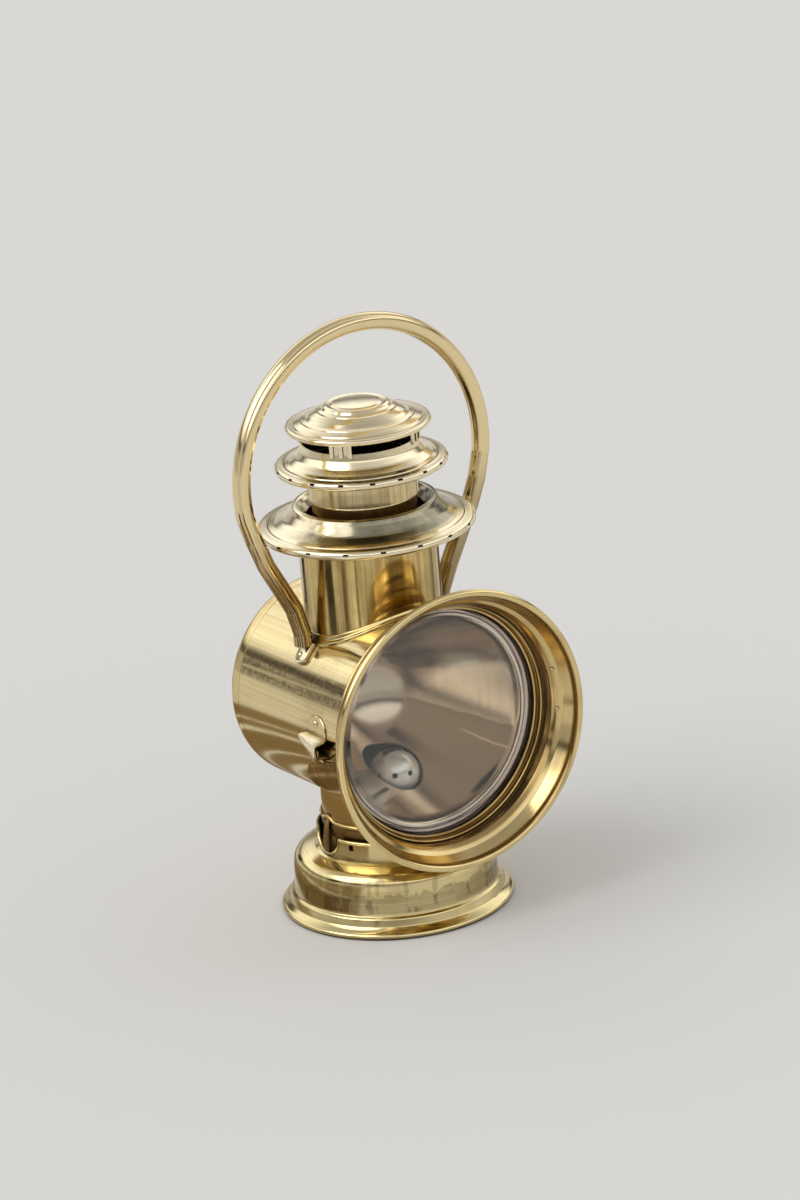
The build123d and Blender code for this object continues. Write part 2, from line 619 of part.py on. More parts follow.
with BuildPart() as glass:
    with BuildSketch(DRUM_PLANE):
        with BuildLine():
            Polyline((GLASS_BACK, 0), (GLASS_BACK, GLASS_R), (GLASS_BACK + GLASS_EDGE, GLASS_R),
                     (GLASS_BACK + GLASS_THICK, GLASS_R - BEVEL_WIDTH), (GLASS_BACK + GLASS_THICK, 0),
                     close=True)
        make_face()
    revolve(axis=DRUM_AXIS)
store(glass.part, "glass")

ring_out = GLASS_R + END_GAP
ring_in = GLASS_R - RETAINER_WIDTH
with BuildPart() as retainer:
    with BuildSketch(DRUM_PLANE):
        with BuildLine():
            Polyline((GLASS_BACK + RETAINER_BACK, ring_out),
                     (GLASS_BACK + RETAINER_BACK, ring_in + 1.5 * SHEET),
                     (GLASS_BACK + RETAINER_FRONT - RETAINER_CHAMFER, ring_in),
                     (GLASS_BACK + RETAINER_FRONT, ring_in), (GLASS_BACK + RETAINER_FRONT, ring_out),
                     close=True)
        make_face()
    revolve(axis=DRUM_AXIS)
store(retainer.part, "glass_ring")

# Hinge: two knuckles and a leaf on the drum, one knuckle and a leaf on the door
HINGE_PLACE = (HINGE_X, HINGE_Y)
leaf_under = DRUM_R - LEAF_SINK
leaf_over = DRUM_R + LEAF_THICK
with BuildPart() as hinge_fixed:
    with BuildSketch(Plane.XY.offset(AXIS_Z)):
        with BuildLine():
            Polyline((leaf_under, LEAF_BACK_Y), (leaf_over, LEAF_BACK_Y), (leaf_over, LEAF_BEND_Y),
                     (HINGE_X + LEAF_LIFT, HINGE_Y + LEAF_RISE), (HINGE_X + LEAF_LIFT, HINGE_Y + LEAF_EDGE),
                     (HINGE_X - LEAF_TUCK, HINGE_Y + LEAF_EDGE), (HINGE_X - LEAF_TUCK, HINGE_Y + LEAF_ROOT),
                     (FRONT_RING_R + LEAF_OVER_RING, HINGE_Y + LEAF_HEEL), (leaf_under, HINGE_Y + LEAF_HEEL),
                     close=True)
        make_face()
    extrude(amount=1.5 * KNUCKLE_LENGTH, both=True)
    with Locations((*HINGE_PLACE, AXIS_Z)):
        Cylinder(KNUCKLE_R, 3 * KNUCKLE_LENGTH)
        Cylinder(KNUCKLE_R + LEAF_THICK, KNUCKLE_LENGTH + 2 * END_GAP, mode=Mode.SUBTRACT)
        Cylinder(HINGE_PIN_R, 3 * KNUCKLE_LENGTH, mode=Mode.SUBTRACT)
    add(drum_tube(0, DRUM_R), mode=Mode.SUBTRACT)
store(hinge_fixed.part, "hinge_drum_leaf")

with BuildPart() as hinge_pin:
    with Locations((*HINGE_PLACE, AXIS_Z)):
        Cylinder(HINGE_PIN_R, 3 * KNUCKLE_LENGTH)
    for end, grows in ((1, Align.MIN), (-1, Align.MAX)):
        with Locations((*HINGE_PLACE, AXIS_Z + end * 1.5 * KNUCKLE_LENGTH)):
            Cylinder(HINGE_PIN_R + SHEET, HINGE_PIN_HEAD, align=(Align.CENTER, Align.CENTER, grows))
store(hinge_pin.part, "hinge_pin")

with BuildPart() as hinge_moving:
    with BuildSketch(Plane.XY.offset(AXIS_Z)):
        with BuildLine():
            Polyline((HINGE_X - DOOR_LEAF_HALF, HINGE_Y - LEAF_EDGE),
                     (HINGE_X + DOOR_LEAF_HALF, HINGE_Y - LEAF_EDGE),
                     (HINGE_X + LEAF_EDGE, HINGE_Y - DOOR_LEAF_BEND),
                     (DOOR_NECK_R + DOOR_LEAF_OUT, HINGE_Y - DOOR_LEAF_FOOT),
                     (DOOR_NECK_R + DOOR_LEAF_OUT, HINGE_Y - DOOR_LEAF_FRONT),
                     (SKIRT_R, HINGE_Y - DOOR_LEAF_FRONT), (SKIRT_R, HINGE_Y - LEAF_RISE), close=True)
        make_face()
    extrude(amount=KNUCKLE_LENGTH / 2, both=True)
    with Locations((*HINGE_PLACE, AXIS_Z)):
        Cylinder(KNUCKLE_R, KNUCKLE_LENGTH)
        Cylinder(HINGE_PIN_R + PIN_GAP, KNUCKLE_LENGTH, mode=Mode.SUBTRACT)
    with BuildSketch(DRUM_PLANE):
        with BuildLine():
            Polyline((SEAT_FRONT, 0), (SEAT_FRONT, DOOR_NECK_R), door_neck_end, (DOOR_NECK_FRONT, 0),
                     close=True)
        make_face()
    revolve(axis=DRUM_AXIS, mode=Mode.SUBTRACT)
store(hinge_moving.part, "hinge_door_leaf")

# Latch: a folded keeper on the drum, and a sprung tongue that flares back from the door's skirt
with BuildPart() as keeper:
    with Locations((-DRUM_R - KEEPER_OUT / 2, KEEPER_Y, AXIS_Z - KEEPER_DOWN)):
        Box(KEEPER_OUT, KEEPER_LENGTH, KEEPER_HEIGHT)
        Box(KEEPER_OUT - 2 * KEEPER_WALL, FAR, KEEPER_HEIGHT - 2 * KEEPER_WALL, mode=Mode.SUBTRACT)
    with Locations((-DRUM_R, KEEPER_Y, AXIS_Z - KEEPER_DOWN)):
        Box(KEEPER_OUT, KEEPER_LENGTH, KEEPER_HEIGHT)
    with Locations((-DRUM_R, KEEPER_TAB_Y, AXIS_Z + KEEPER_TAB_UP)):
        Cylinder(KEEPER_TAB_R, 2 * KEEPER_TAB_THICK, rotation=(0, 90, 0))
    add(drum_tube(0, DRUM_R), mode=Mode.SUBTRACT)
store(keeper.part, "latch_keeper")

tongue_turn = math.radians(TONGUE_ANGLE)
tongue_out = Vector(-math.cos(tongue_turn), 0, math.sin(tongue_turn))
tongue_root = TONGUE_TIP + TONGUE_WIDTH / 2
tongue_middle = (TONGUE_TIP + SKIRT_BACK) / 2
with BuildPart() as tongue:
    with BuildSketch(Plane(origin=Vector(0, 0, AXIS_Z) + tongue_out, x_dir=(0, -1, 0), z_dir=tongue_out)):
        with Locations((tongue_root, 0)):
            Circle(TONGUE_WIDTH / 2)
            Rectangle(SEAT_FRONT - tongue_root, TONGUE_WIDTH, align=(Align.MIN, Align.CENTER))
    extrude(amount=FAR)
    with BuildSketch(DRUM_PLANE, mode=Mode.PRIVATE) as tongue_side:
        with BuildLine():
            ThreePointArc((SEAT_FRONT, SKIRT_R), (tongue_middle, SKIRT_R + TONGUE_TIP_OUT / 2 - TONGUE_BOW),
                          (TONGUE_TIP, SKIRT_R + TONGUE_TIP_OUT))
            offset(amount=TONGUE_THICK, side=Side.RIGHT)
        make_face()
    add(revolve(tongue_side.sketch, axis=DRUM_AXIS, mode=Mode.PRIVATE), mode=Mode.INTERSECT)
    add(drum_tube(0, SKIRT_R, SKIRT_BACK), mode=Mode.SUBTRACT)
store(tongue.part, "latch_leaf")

# Spring catch: a strip on the body's neck that hangs in the fount's notch
catch_out = from_minus_y(CATCH_AZIMUTH)
catch_in_r = FOUNT_NECK_R - SHEET + FREE_GAP
catch_length = CATCH_DROP + CATCH_ROOT_UP
with BuildPart() as catch:
    with BuildSketch(Plane(origin=catch_out * catch_in_r, z_dir=catch_out)):
        with Locations((0, NECK_BOTTOM_Z + CATCH_ROOT_UP - catch_length / 2)):
            SlotOverall(catch_length + CATCH_ROOT_UP, CATCH_WIDTH, rotation=90)
    extrude(amount=SHEET)
    with BuildSketch(Plane(origin=catch_out * NECK_R, z_dir=catch_out)):
        with Locations((0, NECK_BOTTOM_Z + CATCH_ROOT_UP + CATCH_ROOT_HEIGHT / 2)):
            Rectangle(CATCH_WIDTH + CATCH_ROOT_EXTRA, CATCH_ROOT_HEIGHT)
    extrude(amount=catch_in_r + SHEET - NECK_R)
store(catch.part, "fount_catch")

# Bail: one tube bent to a loop, with legs that run down to flat lugs on the drum
lug_turn = math.radians(LUG_ANGLE)
lug_r = DRUM_R + PAD_THICK / 2
bail_end_r = lug_r + BAIL_END_OUT
bail_end_x = bail_end_r * math.cos(lug_turn) - BAIL_END_UP * math.sin(lug_turn)
bail_end_z = AXIS_Z + bail_end_r * math.sin(lug_turn) + BAIL_END_UP * math.cos(lug_turn)
bail_bend = (bail_end_x + BAIL_BEND_OUT, bail_end_z + BAIL_BEND_UP)
loop_z = AXIS_Z + BAIL_LOOP_ABOVE_AXIS
bend_run = math.hypot(bail_bend[0], loop_z - bail_bend[1])
bail_turn = math.atan2(loop_z - bail_bend[1], bail_bend[0]) - math.acos(BAIL_LOOP_R / bend_run)
leg_top = (BAIL_LOOP_R * math.cos(bail_turn), loop_z - BAIL_LOOP_R * math.sin(bail_turn))
BAIL_PLANE = Plane(origin=(0, BAIL_Y, 0), x_dir=(1, 0, 0), z_dir=(0, -1, 0))
with BuildPart() as bail:
    with BuildLine(BAIL_PLANE) as bail_path:
        CenterArc((0, loop_z), BAIL_LOOP_R, -math.degrees(bail_turn), 180 + 2 * math.degrees(bail_turn))
        for side in (-1, 1):
            FilletPolyline((side * leg_top[0], leg_top[1]), (side * bail_bend[0], bail_bend[1]),
                           (side * bail_end_x, bail_end_z), radius=BAIL_BEND_R)
    bail_wire = bail_path.wires()[0]
    with BuildSketch(Plane(origin=bail_wire @ 0, z_dir=bail_wire % 0)):
        Circle(BAIL_TUBE_R)
    sweep(path=bail_wire)
    for side in (-1, 1):
        lug_out = Vector(side * math.cos(lug_turn), 0, math.sin(lug_turn))
        lug_up = Vector(-side * math.sin(lug_turn), 0, math.cos(lug_turn))
        lug_base = Vector(0, BAIL_Y, AXIS_Z) + lug_out * (DRUM_R + PAD_THICK)
        lug_root = lug_base + lug_up * LUG_ROOT_UP + lug_out * LUG_THICK / 2
        with BuildSketch(Plane(origin=(side * bail_end_x, BAIL_Y, bail_end_z), x_dir=(0, 1, 0),
                               z_dir=(-side * BAIL_BEND_OUT, 0, -BAIL_BEND_UP))):
            Circle(BAIL_TUBE_R)
        with BuildSketch(Plane(origin=lug_root, x_dir=(0, 1, 0), z_dir=-lug_out)):
            Ellipse(LUG_ROOT_WIDTH / 2, LUG_ROOT_HEIGHT / 2)
        loft()
        with BuildSketch(Plane(origin=lug_base + lug_up * LUG_CENTRE_UP - lug_out * PAD_THICK / 2,
                               x_dir=lug_up, z_dir=lug_out)):
            SlotOverall(LUG_LENGTH, LUG_WIDTH)
        extrude(amount=LUG_THICK + PAD_THICK / 2)
    add(drum_tube(0, DRUM_R + PAD_THICK), mode=Mode.SUBTRACT)
store(bail.part, "bail")

with BuildPart() as bail_pads:
    for side in (-1, 1):
        lug_out = Vector(side * math.cos(lug_turn), 0, math.sin(lug_turn))
        lug_up = Vector(-side * math.sin(lug_turn), 0, math.cos(lug_turn))
        with BuildSketch(Plane(origin=Vector(0, BAIL_Y, AXIS_Z), x_dir=lug_up, z_dir=lug_out)):
            SlotOverall(PAD_LENGTH, PAD_WIDTH)
        extrude(amount=FAR)
    add(drum_tube(DRUM_R, DRUM_R + PAD_THICK), mode=Mode.INTERSECT)
store(bail_pads.part, "bail_pads")

# Bracket on the drum's +X side: a riveted plate, a web and a socket for the lamp iron's post
with BuildPart() as bracket:
    with Locations((DRUM_R, SOCKET_Y, AXIS_Z)):
        Box(DRUM_R, BRACKET_PLATE_WIDTH, BRACKET_PLATE_HEIGHT)
    add(drum_tube(DRUM_R, DRUM_R + BRACKET_PLATE_THICK), mode=Mode.INTERSECT)
    with Locations(((DRUM_R + SOCKET_X) / 2, SOCKET_Y, AXIS_Z)):
        Box(SOCKET_X - DRUM_R + SHEET, BRACKET_WEB_THICK, BRACKET_WEB_HEIGHT)
    with Locations((SOCKET_X, SOCKET_Y, AXIS_Z)):
        Cylinder(SOCKET_BORE_R + SOCKET_WALL, SOCKET_LENGTH)
        Cylinder(SOCKET_BORE_R, SOCKET_LENGTH, mode=Mode.SUBTRACT)
        Cylinder(SCREW_R, 2 * SOCKET_BORE_R + SOCKET_WALL, rotation=(0, 90, 0),
                 align=(Align.CENTER, Align.CENTER, Align.MIN), mode=Mode.SUBTRACT)
    add(drum_tube(0, DRUM_R), mode=Mode.SUBTRACT)
store(bracket.part, "socket_bracket")

screw_start = SOCKET_X + SOCKET_BORE_R + RUN_GAP
with BuildPart() as screw:
    with Locations((screw_start, SOCKET_Y, AXIS_Z)):
        Cylinder(SCREW_R, SCREW_LENGTH, rotation=(0, 90, 0), align=(Align.CENTER, Align.CENTER, Align.MIN))
    with Locations((screw_start + SCREW_LENGTH - SHEET, SOCKET_Y, AXIS_Z)):
        Box(WING_LENGTH, WING_THICK, WING_HEIGHT, align=(Align.MIN, Align.CENTER, Align.CENTER))
store(screw.part, "clamp_screw")

print(len(made), "sub-parts made")
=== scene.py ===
# %% [markdown]
# # A brass side lamp, dressed in Blender
# The lamp's solids come from the CAD frame. They hold its sizes and its moving
# bodies, but their round walls are made of flat facets, which polished brass
# shows at once. So this lesson turns the spun pieces again as smooth sheet
# metal, adds rims, rivets and wear, and sets the lamp in a small studio.

# %% Load the frame
import math

import bmesh
import bpy
from mathutils import Matrix, Vector


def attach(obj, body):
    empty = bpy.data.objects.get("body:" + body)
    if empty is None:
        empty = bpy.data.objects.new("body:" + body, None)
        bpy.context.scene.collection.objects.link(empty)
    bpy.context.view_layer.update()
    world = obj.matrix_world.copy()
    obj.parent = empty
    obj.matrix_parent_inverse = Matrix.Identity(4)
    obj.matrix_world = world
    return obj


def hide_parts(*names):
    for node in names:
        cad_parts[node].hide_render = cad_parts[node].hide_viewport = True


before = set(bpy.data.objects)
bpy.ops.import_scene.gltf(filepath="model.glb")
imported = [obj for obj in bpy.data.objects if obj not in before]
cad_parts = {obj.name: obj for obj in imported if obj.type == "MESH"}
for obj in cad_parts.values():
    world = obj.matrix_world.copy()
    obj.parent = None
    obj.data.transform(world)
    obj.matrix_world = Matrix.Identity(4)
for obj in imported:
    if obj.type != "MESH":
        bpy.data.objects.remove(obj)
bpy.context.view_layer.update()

# %% [markdown]
# ## Wires between nodes
# A finish is a sum of patterns: a grain, some wear, some tarnish and painted shade in the corners.
# Node trees could be clicked together, but a script reads better when the sums
# look like sums. The class below wraps one socket, and each sign adds a node.

# %% One socket that can be counted with
class Wire:
    """A node's output that can be added, multiplied and faded like a number."""

    def __init__(self, tree, socket):
        self.tree, self.socket = tree, socket

    @staticmethod
    def node(tree, kind, settings=None, inputs=None, out=0):
        """Add a node: its settings first, then the values or wires of its sockets."""
        made = tree.nodes.new(kind)
        for key, value in (settings or {}).items():
            if key == "stops":
                ramp = made.color_ramp
                while len(ramp.elements) < len(value):
                    ramp.elements.new(0.5)
                for element, (place, colour) in zip(ramp.elements, value):
                    element.position, element.color = place, colour
            else:
                setattr(made, key, value)
        for key, value in (inputs or {}).items():
            if isinstance(value, Wire):
                tree.links.new(value.socket, made.inputs[key])
            else:
                made.inputs[key].default_value = value
        return Wire(tree, made.outputs[out])

    def math(self, operation, first, second=0.0):
        return Wire.node(self.tree, "ShaderNodeMath", {"operation": operation}, {0: first, 1: second})

    def __add__(self, other):
        return self.math("ADD", self, other)

    def __sub__(self, other):
        return self.math("SUBTRACT", self, other)

    def __rsub__(self, other):
        return self.math("SUBTRACT", other, self)

    def __mul__(self, other):
        return self.math("MULTIPLY", self, other)

    __radd__, __rmul__ = __add__, __mul__

    def fade(self, low, high):
        """0 below low, 1 above high, and a soft step between them."""
        return Wire.node(self.tree, "ShaderNodeMapRange", {"interpolation_type": "SMOOTHSTEP"},
                         {0: self, 1: low, 2: high})

    def band(self, low, rises, falls, high):
        """0 outside low and high, 1 between rises and falls, with soft steps between."""
        return self.fade(low, rises) * (1.0 - self.fade(falls, high))


def blend_colours(share, first, second):
    """One colour turning into another as share goes from 0 to 1."""
    return Wire.node(share.tree, "ShaderNodeMix", {"data_type": "RGBA"},
                     {0: share, 6: first, 7: second}, out=2)


def parted(tree, place):
    """The three numbers of a place."""
    split = Wire.node(tree, "ShaderNodeSeparateXYZ", {}, {0: place})
    return [Wire(tree, split.socket.node.outputs[index]) for index in range(3)]


def joined(tree, x=0.0, y=0.0, z=0.0):
    """Three numbers as one place."""
    return Wire.node(tree, "ShaderNodeCombineXYZ", {}, {0: x, 1: y, 2: z})


# %% [markdown]
# ## Brass
# Polished sheet brass is a mirror with a past: fine lines from the polishing
# cloth, soft dents that bend its reflections, brown tarnish in the corners that
# no cloth reaches, darkened here with painted shade. An image of brass could be
# wrapped round each piece, but its lines would run the wrong way on most of them.
# Here they run round the fount's axis, along the drum or down the bail, so each
# pattern is drawn in turned coordinates, worked out from Object coordinates.

# %% Turned coordinates, in metres
AXIS_Z = 0.1036  # height of the drum's axis
print("drum axis:", AXIS_Z, "m above the shelf")


def reach_of(first, second):
    """Distance from an axis, from the two numbers that are square to it."""
    return first.math("SQRT", first * first + second * second)


def turned_place(tree, about):
    """The place, and its turn round an axis, its distance along it and its distance from it."""
    place = Wire.node(tree, "ShaderNodeTexCoord", out="Object")
    x, y, z = parted(tree, place)
    if about == "bail":
        return place, y, z, x
    if about == "drum":
        up = z - AXIS_Z
        return place, x.math("ARCTAN2", up, x), y, reach_of(x, up)
    return place, x.math("ARCTAN2", x, y), z, reach_of(x, y)


def noise(tree, vector, scale, detail=2.0, roughness=0.5):
    """Soft clouds: the scale is how many there are in a metre."""
    return Wire.node(tree, "ShaderNodeTexNoise", {"noise_dimensions": "3D"},
                     {"Vector": vector, "Scale": scale, "Detail": detail, "Roughness": roughness})


def stretched(tree, turn, along, reach, amounts):
    """Squeeze the turned coordinates, so that a noise on them becomes lines."""
    return joined(tree, turn * amounts[0], along * amounts[1], reach * amounts[2])


# %% Grains and common colours
# A grain's numbers squeeze it round the axis, along it and away from it. The
# smallest number is the way that its lines run.
AROUND, ALONG, BOTH = (1.2, 900.0, 900.0), (34.0, 7.0, 9.0), (30.0, 500.0, 500.0)
UPRIGHT, DOWN_THE_TUBE = (60.0, 9.0, 9.0), (900.0, 8.0, 8.0)
BRIGHT, BROWN, OLIVE = (0.80, 0.61, 0.27, 1.0), (0.31, 0.19, 0.065, 1.0), (0.19, 0.15, 0.075, 1.0)
PALE, INSIDE_BLACK = (0.93, 0.82, 0.57, 1.0), (0.030, 0.022, 0.014, 1.0)


def new_finish(name):
    """A fresh material, its node tree and its shader."""
    material = bpy.data.materials.new(name)
    material.use_nodes = True
    print("finish:", name)
    return material, material.node_tree, material.node_tree.nodes["Principled BSDF"]


def bumped(tree, shader, height, strength, depth):
    """Let a height tilt the surface's reflections."""
    bump = Wire.node(tree, "ShaderNodeBump", {}, {"Strength": strength, "Distance": depth, "Height": height})
    tree.links.new(bump.socket, shader.inputs["Normal"])


# %% The metal itself
SPECK_SCALE, DENT_SCALE = 900.0, 42.0
print("specks and dents in a metre:", SPECK_SCALE, DENT_SCALE)


def metal(name, bright, brown, shine=0.13, grain=AROUND, about="fount", tarnish=0.5, waves=0.35,
          crease=0.0035, patch=30.0, lined=0.16, extra=None, other=OLIVE, purity=1.0, inside=None):
    """Polished sheet metal, with a bright colour and a brown one where it has tarnished.

    shine: how rough it is                  grain, about: which way its lines run
    lined: how much the lines show          tarnish, patch: how much is brown, in patches of what scale
    waves: how dented it is                 crease: how far the dirt and painted shade of a corner reach
    extra, other: a rule for one more mark, and the mark's colour
    purity: how much of it is metal         inside: nearer the axis than this, it is near black
    """
    material, tree, shader = new_finish(name)
    place, turn, along, reach = turned_place(tree, about)
    lines = noise(tree, stretched(tree, turn, along, reach, grain), 1.0, 3.0, 0.6)
    cloud = noise(tree, place, patch, 4.0, 0.6)
    coarse = [amount * 0.14 for amount in grain]
    streak = noise(tree, stretched(tree, turn, along, reach, coarse), 1.0, 3.0, 0.6)
    specks = noise(tree, place, SPECK_SCALE, 2.0)
    # Painted shade: corners and creases found by ambient occlusion turn near black, together with their dirt.
    corner = Wire.node(tree, "ShaderNodeAmbientOcclusion", {"samples": 6}, {"Distance": crease}, out="AO")
    corner_dirt_and_shade = 1.0 - corner.fade(0.35, 0.95)
    age = (cloud * 0.55 + streak * 0.45).fade(0.60 - 0.26 * tarnish, 0.74 - 0.16 * tarnish)
    spots = specks.fade(0.68, 0.74) * cloud.fade(0.45, 0.62)

    # The base colour gathers tarnish, lines, each piece's extra mark and painted shade in the corners.
    wear_and_painted_light = blend_colours(age * (0.22 + 0.5 * tarnish), bright, brown)
    wear_and_painted_light = blend_colours(lines.fade(0.38, 0.72) * lined, wear_and_painted_light, brown)
    if extra:
        wear_and_painted_light = blend_colours(extra(tree, place, streak, lines), wear_and_painted_light, other)
    wear_and_painted_light = blend_colours(spots * 0.45, wear_and_painted_light, brown)
    # Near black on the inside, nearer the axis than inside.
    if inside:
        wear_and_painted_light = blend_colours((1.0 - reach.fade(inside - 0.0002, inside)) * 0.85, wear_and_painted_light, INSIDE_BLACK)
    grime_and_shade = (brown[0] * 0.16, brown[1] * 0.12, brown[2] * 0.08, 1.0)
    wear_and_painted_light = blend_colours(corner_dirt_and_shade * 0.9, wear_and_painted_light, grime_and_shade)
    tree.links.new(wear_and_painted_light.socket, shader.inputs["Base Color"])
    shader.inputs["Metallic"].default_value = purity

    gloss = lines * 0.07 + age * 0.09 + corner_dirt_and_shade * 0.25 + spots * 0.15 + (shine - 0.03)
    tree.links.new(gloss.socket, shader.inputs["Roughness"])
    dents = noise(tree, place, DENT_SCALE, 1.0)
    bumped(tree, shader, dents * waves + lines * 0.018 + specks * 0.0015, 0.5, 0.0006)
    return material


# %% [markdown]
# ## Marks on the metal, mostly painted reflections
# Each piece has its own marks. The drum has a painted grey reflection band, the
# fount painted dark reflections low down, the chimney painted upright reflection
# stripes, the canopy a painted dark reflection near the flue, the hood a brown
# throat with a line of painted shade by its rim, and in the silver dish one wedge
# is left bright as a painted reflection. Such marks could be painted by hand on an
# image. A rule that reads the place of a point needs no image, and stays sharp
# however near one looks. Each rule below gives the share of the other colour.

# %% Marks on the drum and the fount
BAND_LOW, BAND_HIGH, BAND_LINE = 0.0150, 0.0255, 0.0195  # above the drum's axis
WALL_FOOT, DULL_TOP, WALL_TOP = 0.0105, 0.0198, 0.026    # above the shelf
print("dull band on the drum:", round((BAND_HIGH - BAND_LOW) * 1000, 1), "mm wide")


def dim_reflection_band(tree, place, streak, lines):
    """A painted reflection: a grey streaky band along the drum's left side, where it mirrors a dim band, with
    a bright line left in it.
    """
    x, y, z = parted(tree, place)
    up = z + (streak - 0.5) * 0.007 + y * 0.03 - AXIS_Z
    inside = up.band(BAND_LOW, BAND_LOW + 0.002, BAND_HIGH, BAND_HIGH + 0.002)
    line = up.band(BAND_LINE, BAND_LINE + 0.0006, BAND_LINE + 0.0012, BAND_LINE + 0.0018)
    speckle = noise(tree, place, 420.0, 3.0, 0.7).fade(0.35, 0.65)
    left_side = x.fade(0.01, -0.01)
    return inside * (1.0 - line) * left_side * (lines.fade(0.35, 0.6) * 0.3 + speckle * 0.5 + 0.1)


def low_dark_reflections(tree, place, streak, lines):
    """Painted dark reflections: the fount's wall is dull low down, with a ragged edge, and in a few tall
    patches.
    """
    x, y, z = parted(tree, place)
    turn = x.math("ARCTAN2", x, y)
    tall = noise(tree, joined(tree, turn * 5.0, z=z * 26.0), 1.0, 3.0, 0.65)
    ragged = z + (tall - 0.5) * 0.016
    low = (1.0 - ragged.fade(DULL_TOP, DULL_TOP + 0.0008)) * z.fade(WALL_FOOT, WALL_FOOT + 0.001)
    patches = tall.fade(0.56, 0.60) * z.band(WALL_FOOT, WALL_FOOT + 0.001, WALL_TOP, WALL_TOP + 0.003)
    return (low * 0.5 + patches * 0.4) * (lines.fade(0.2, 0.8) * 0.3 + 0.7)


# %% Marks on the chimney, the bail and the canopy
LEGS_END, LOOP_START = 0.168, 0.215       # above the shelf
THROAT_FROM, THROAT_TO = 0.0420, 0.0462   # from the flue's axis
PICTURE_RIGHT = (0.834, -0.552)           # the way to the right, as the camera sees it
print("the bail's legs are brown up to", LEGS_END, "m")


def upright_reflection_stripes(tree, place, streak, lines):
    """Upright dark lines and bands, painted as reflections of the surroundings."""
    x, y, z = parted(tree, place)
    turn = x.math("ARCTAN2", x, y)
    coarse = noise(tree, joined(tree, turn * 3.4, z=z * 1.5), 1.0, 2.0, 0.5).fade(0.47, 0.53)
    fine = noise(tree, joined(tree, turn * 15.0, z=z * 3.0), 1.0, 2.0, 0.5)
    thin = 1.0 - fine.math("ABSOLUTE", fine - 0.5).fade(0.004, 0.016)
    return coarse * 0.22 + thin * 0.5


def dark_legs(tree, place, streak, lines):
    """The bail's legs are browner than its loop, in streaks along the tube."""
    z = parted(tree, place)[2]
    low = 1.0 - (z + (streak - 0.5) * 0.04).fade(LEGS_END, LOOP_START)
    return low * (lines.fade(0.3, 0.65) * 0.5 + 0.4)


def throat_dark_reflection(tree, place, streak, lines):
    """A painted dark reflection greys the canopy near the flue, but for its left side."""
    x, y, z = parted(tree, place)
    reach = reach_of(x, y) + (streak - 0.5) * 0.008
    mottled = noise(tree, place, 90.0, 3.0, 0.65).fade(0.3, 0.7)
    rightwards = x * PICTURE_RIGHT[0] + y * PICTURE_RIGHT[1] + (mottled - 0.5) * 0.01
    throat = 1.0 - reach.fade(THROAT_FROM, THROAT_TO)
    return throat * rightwards.fade(-0.032, -0.016) * (mottled * 0.2 + 0.68)


# %% Marks on the hood and the dish
THROAT_R, LINE_R, DISH_R = 0.0608, 0.0655, 0.0496
WEDGE = (-0.37, -0.33, 0.28, 0.38)        # turns about the drum's axis, in radians
THIN_LINE = (-0.585, -0.570, -0.560, -0.545)
print("bright wedge in the dish:", round(math.degrees(WEDGE[3] - WEDGE[0])), "degrees")


def hood_rings(tree, place, streak, lines):
    """The hood's throat is brown, its flare is a deeper gold, and a dark line of painted shade runs near the
    rim, where the bead meets the flare.
    """
    x, y, z = parted(tree, place)
    reach = reach_of(x, z - AXIS_Z)
    throat = 1.0 - reach.fade(THROAT_R, THROAT_R + 0.0008)
    flare = reach.band(THROAT_R, THROAT_R + 0.0008, LINE_R, LINE_R + 0.0003)
    line = reach.band(LINE_R, LINE_R + 0.0003, LINE_R + 0.0006, LINE_R + 0.0009)
    return throat * (lines.fade(0.3, 0.7) * 0.3 + 0.5) + line * 0.8 + flare * 0.22


def bright_reflection_wedge(tree, place, streak, lines):
    """The dish is dulled, but for its rim, a thin line and one wedge, which are left bright as painted
    reflections.
    """
    x, y, z = parted(tree, place)
    up = z - AXIS_Z
    turn = x.math("ARCTAN2", up, x) + (streak - 0.5) * 0.08
    wedge = turn.band(*WEDGE) * (x - up * 0.68).fade(0.0225, 0.0290)
    thin = turn.band(*THIN_LINE) * x.fade(0.029, 0.034)
    bowl = 1.0 - reach_of(x, up).fade(DISH_R, DISH_R + 0.0004)
    return (1.0 - (wedge + thin * 0.8)) * bowl


# %% The brass of this lamp
NECK_INSIDE, DRUM_INSIDE, CHIMNEY_INSIDE = 0.0358, 0.0512, 0.0334
spun_brass = metal("spun brass", BRIGHT, BROWN, tarnish=0.55)
cap_brass = metal("pale brass", PALE, (0.46, 0.33, 0.14, 1.0), tarnish=0.2, shine=0.16, waves=0.25)
# The canopy's extra mark is a painted dark reflection near the flue.
canopy_brass = metal("canopy brass", PALE, (0.42, 0.29, 0.12, 1.0), tarnish=0.3, shine=0.16,
                     extra=throat_dark_reflection, other=(0.18, 0.17, 0.12, 1.0))
# The drum's extra mark is a painted reflection of a dim band.
drum_brass = metal("drum brass", (0.84, 0.70, 0.38, 1.0), BROWN, grain=ALONG, about="drum", tarnish=0.3,
                   lined=0.26, waves=0.25, extra=dim_reflection_band, inside=DRUM_INSIDE)
door_brass = metal("door brass", (0.82, 0.65, 0.33, 1.0), BROWN, shine=0.11, about="drum", tarnish=0.45)
# The fount's extra mark paints dark reflections low on its wall.
fount_brass = metal("fount brass", (0.86, 0.72, 0.37, 1.0), (0.27, 0.19, 0.07, 1.0), shine=0.12,
                    tarnish=0.6, patch=19.0, crease=0.006, extra=low_dark_reflections, inside=NECK_INSIDE)
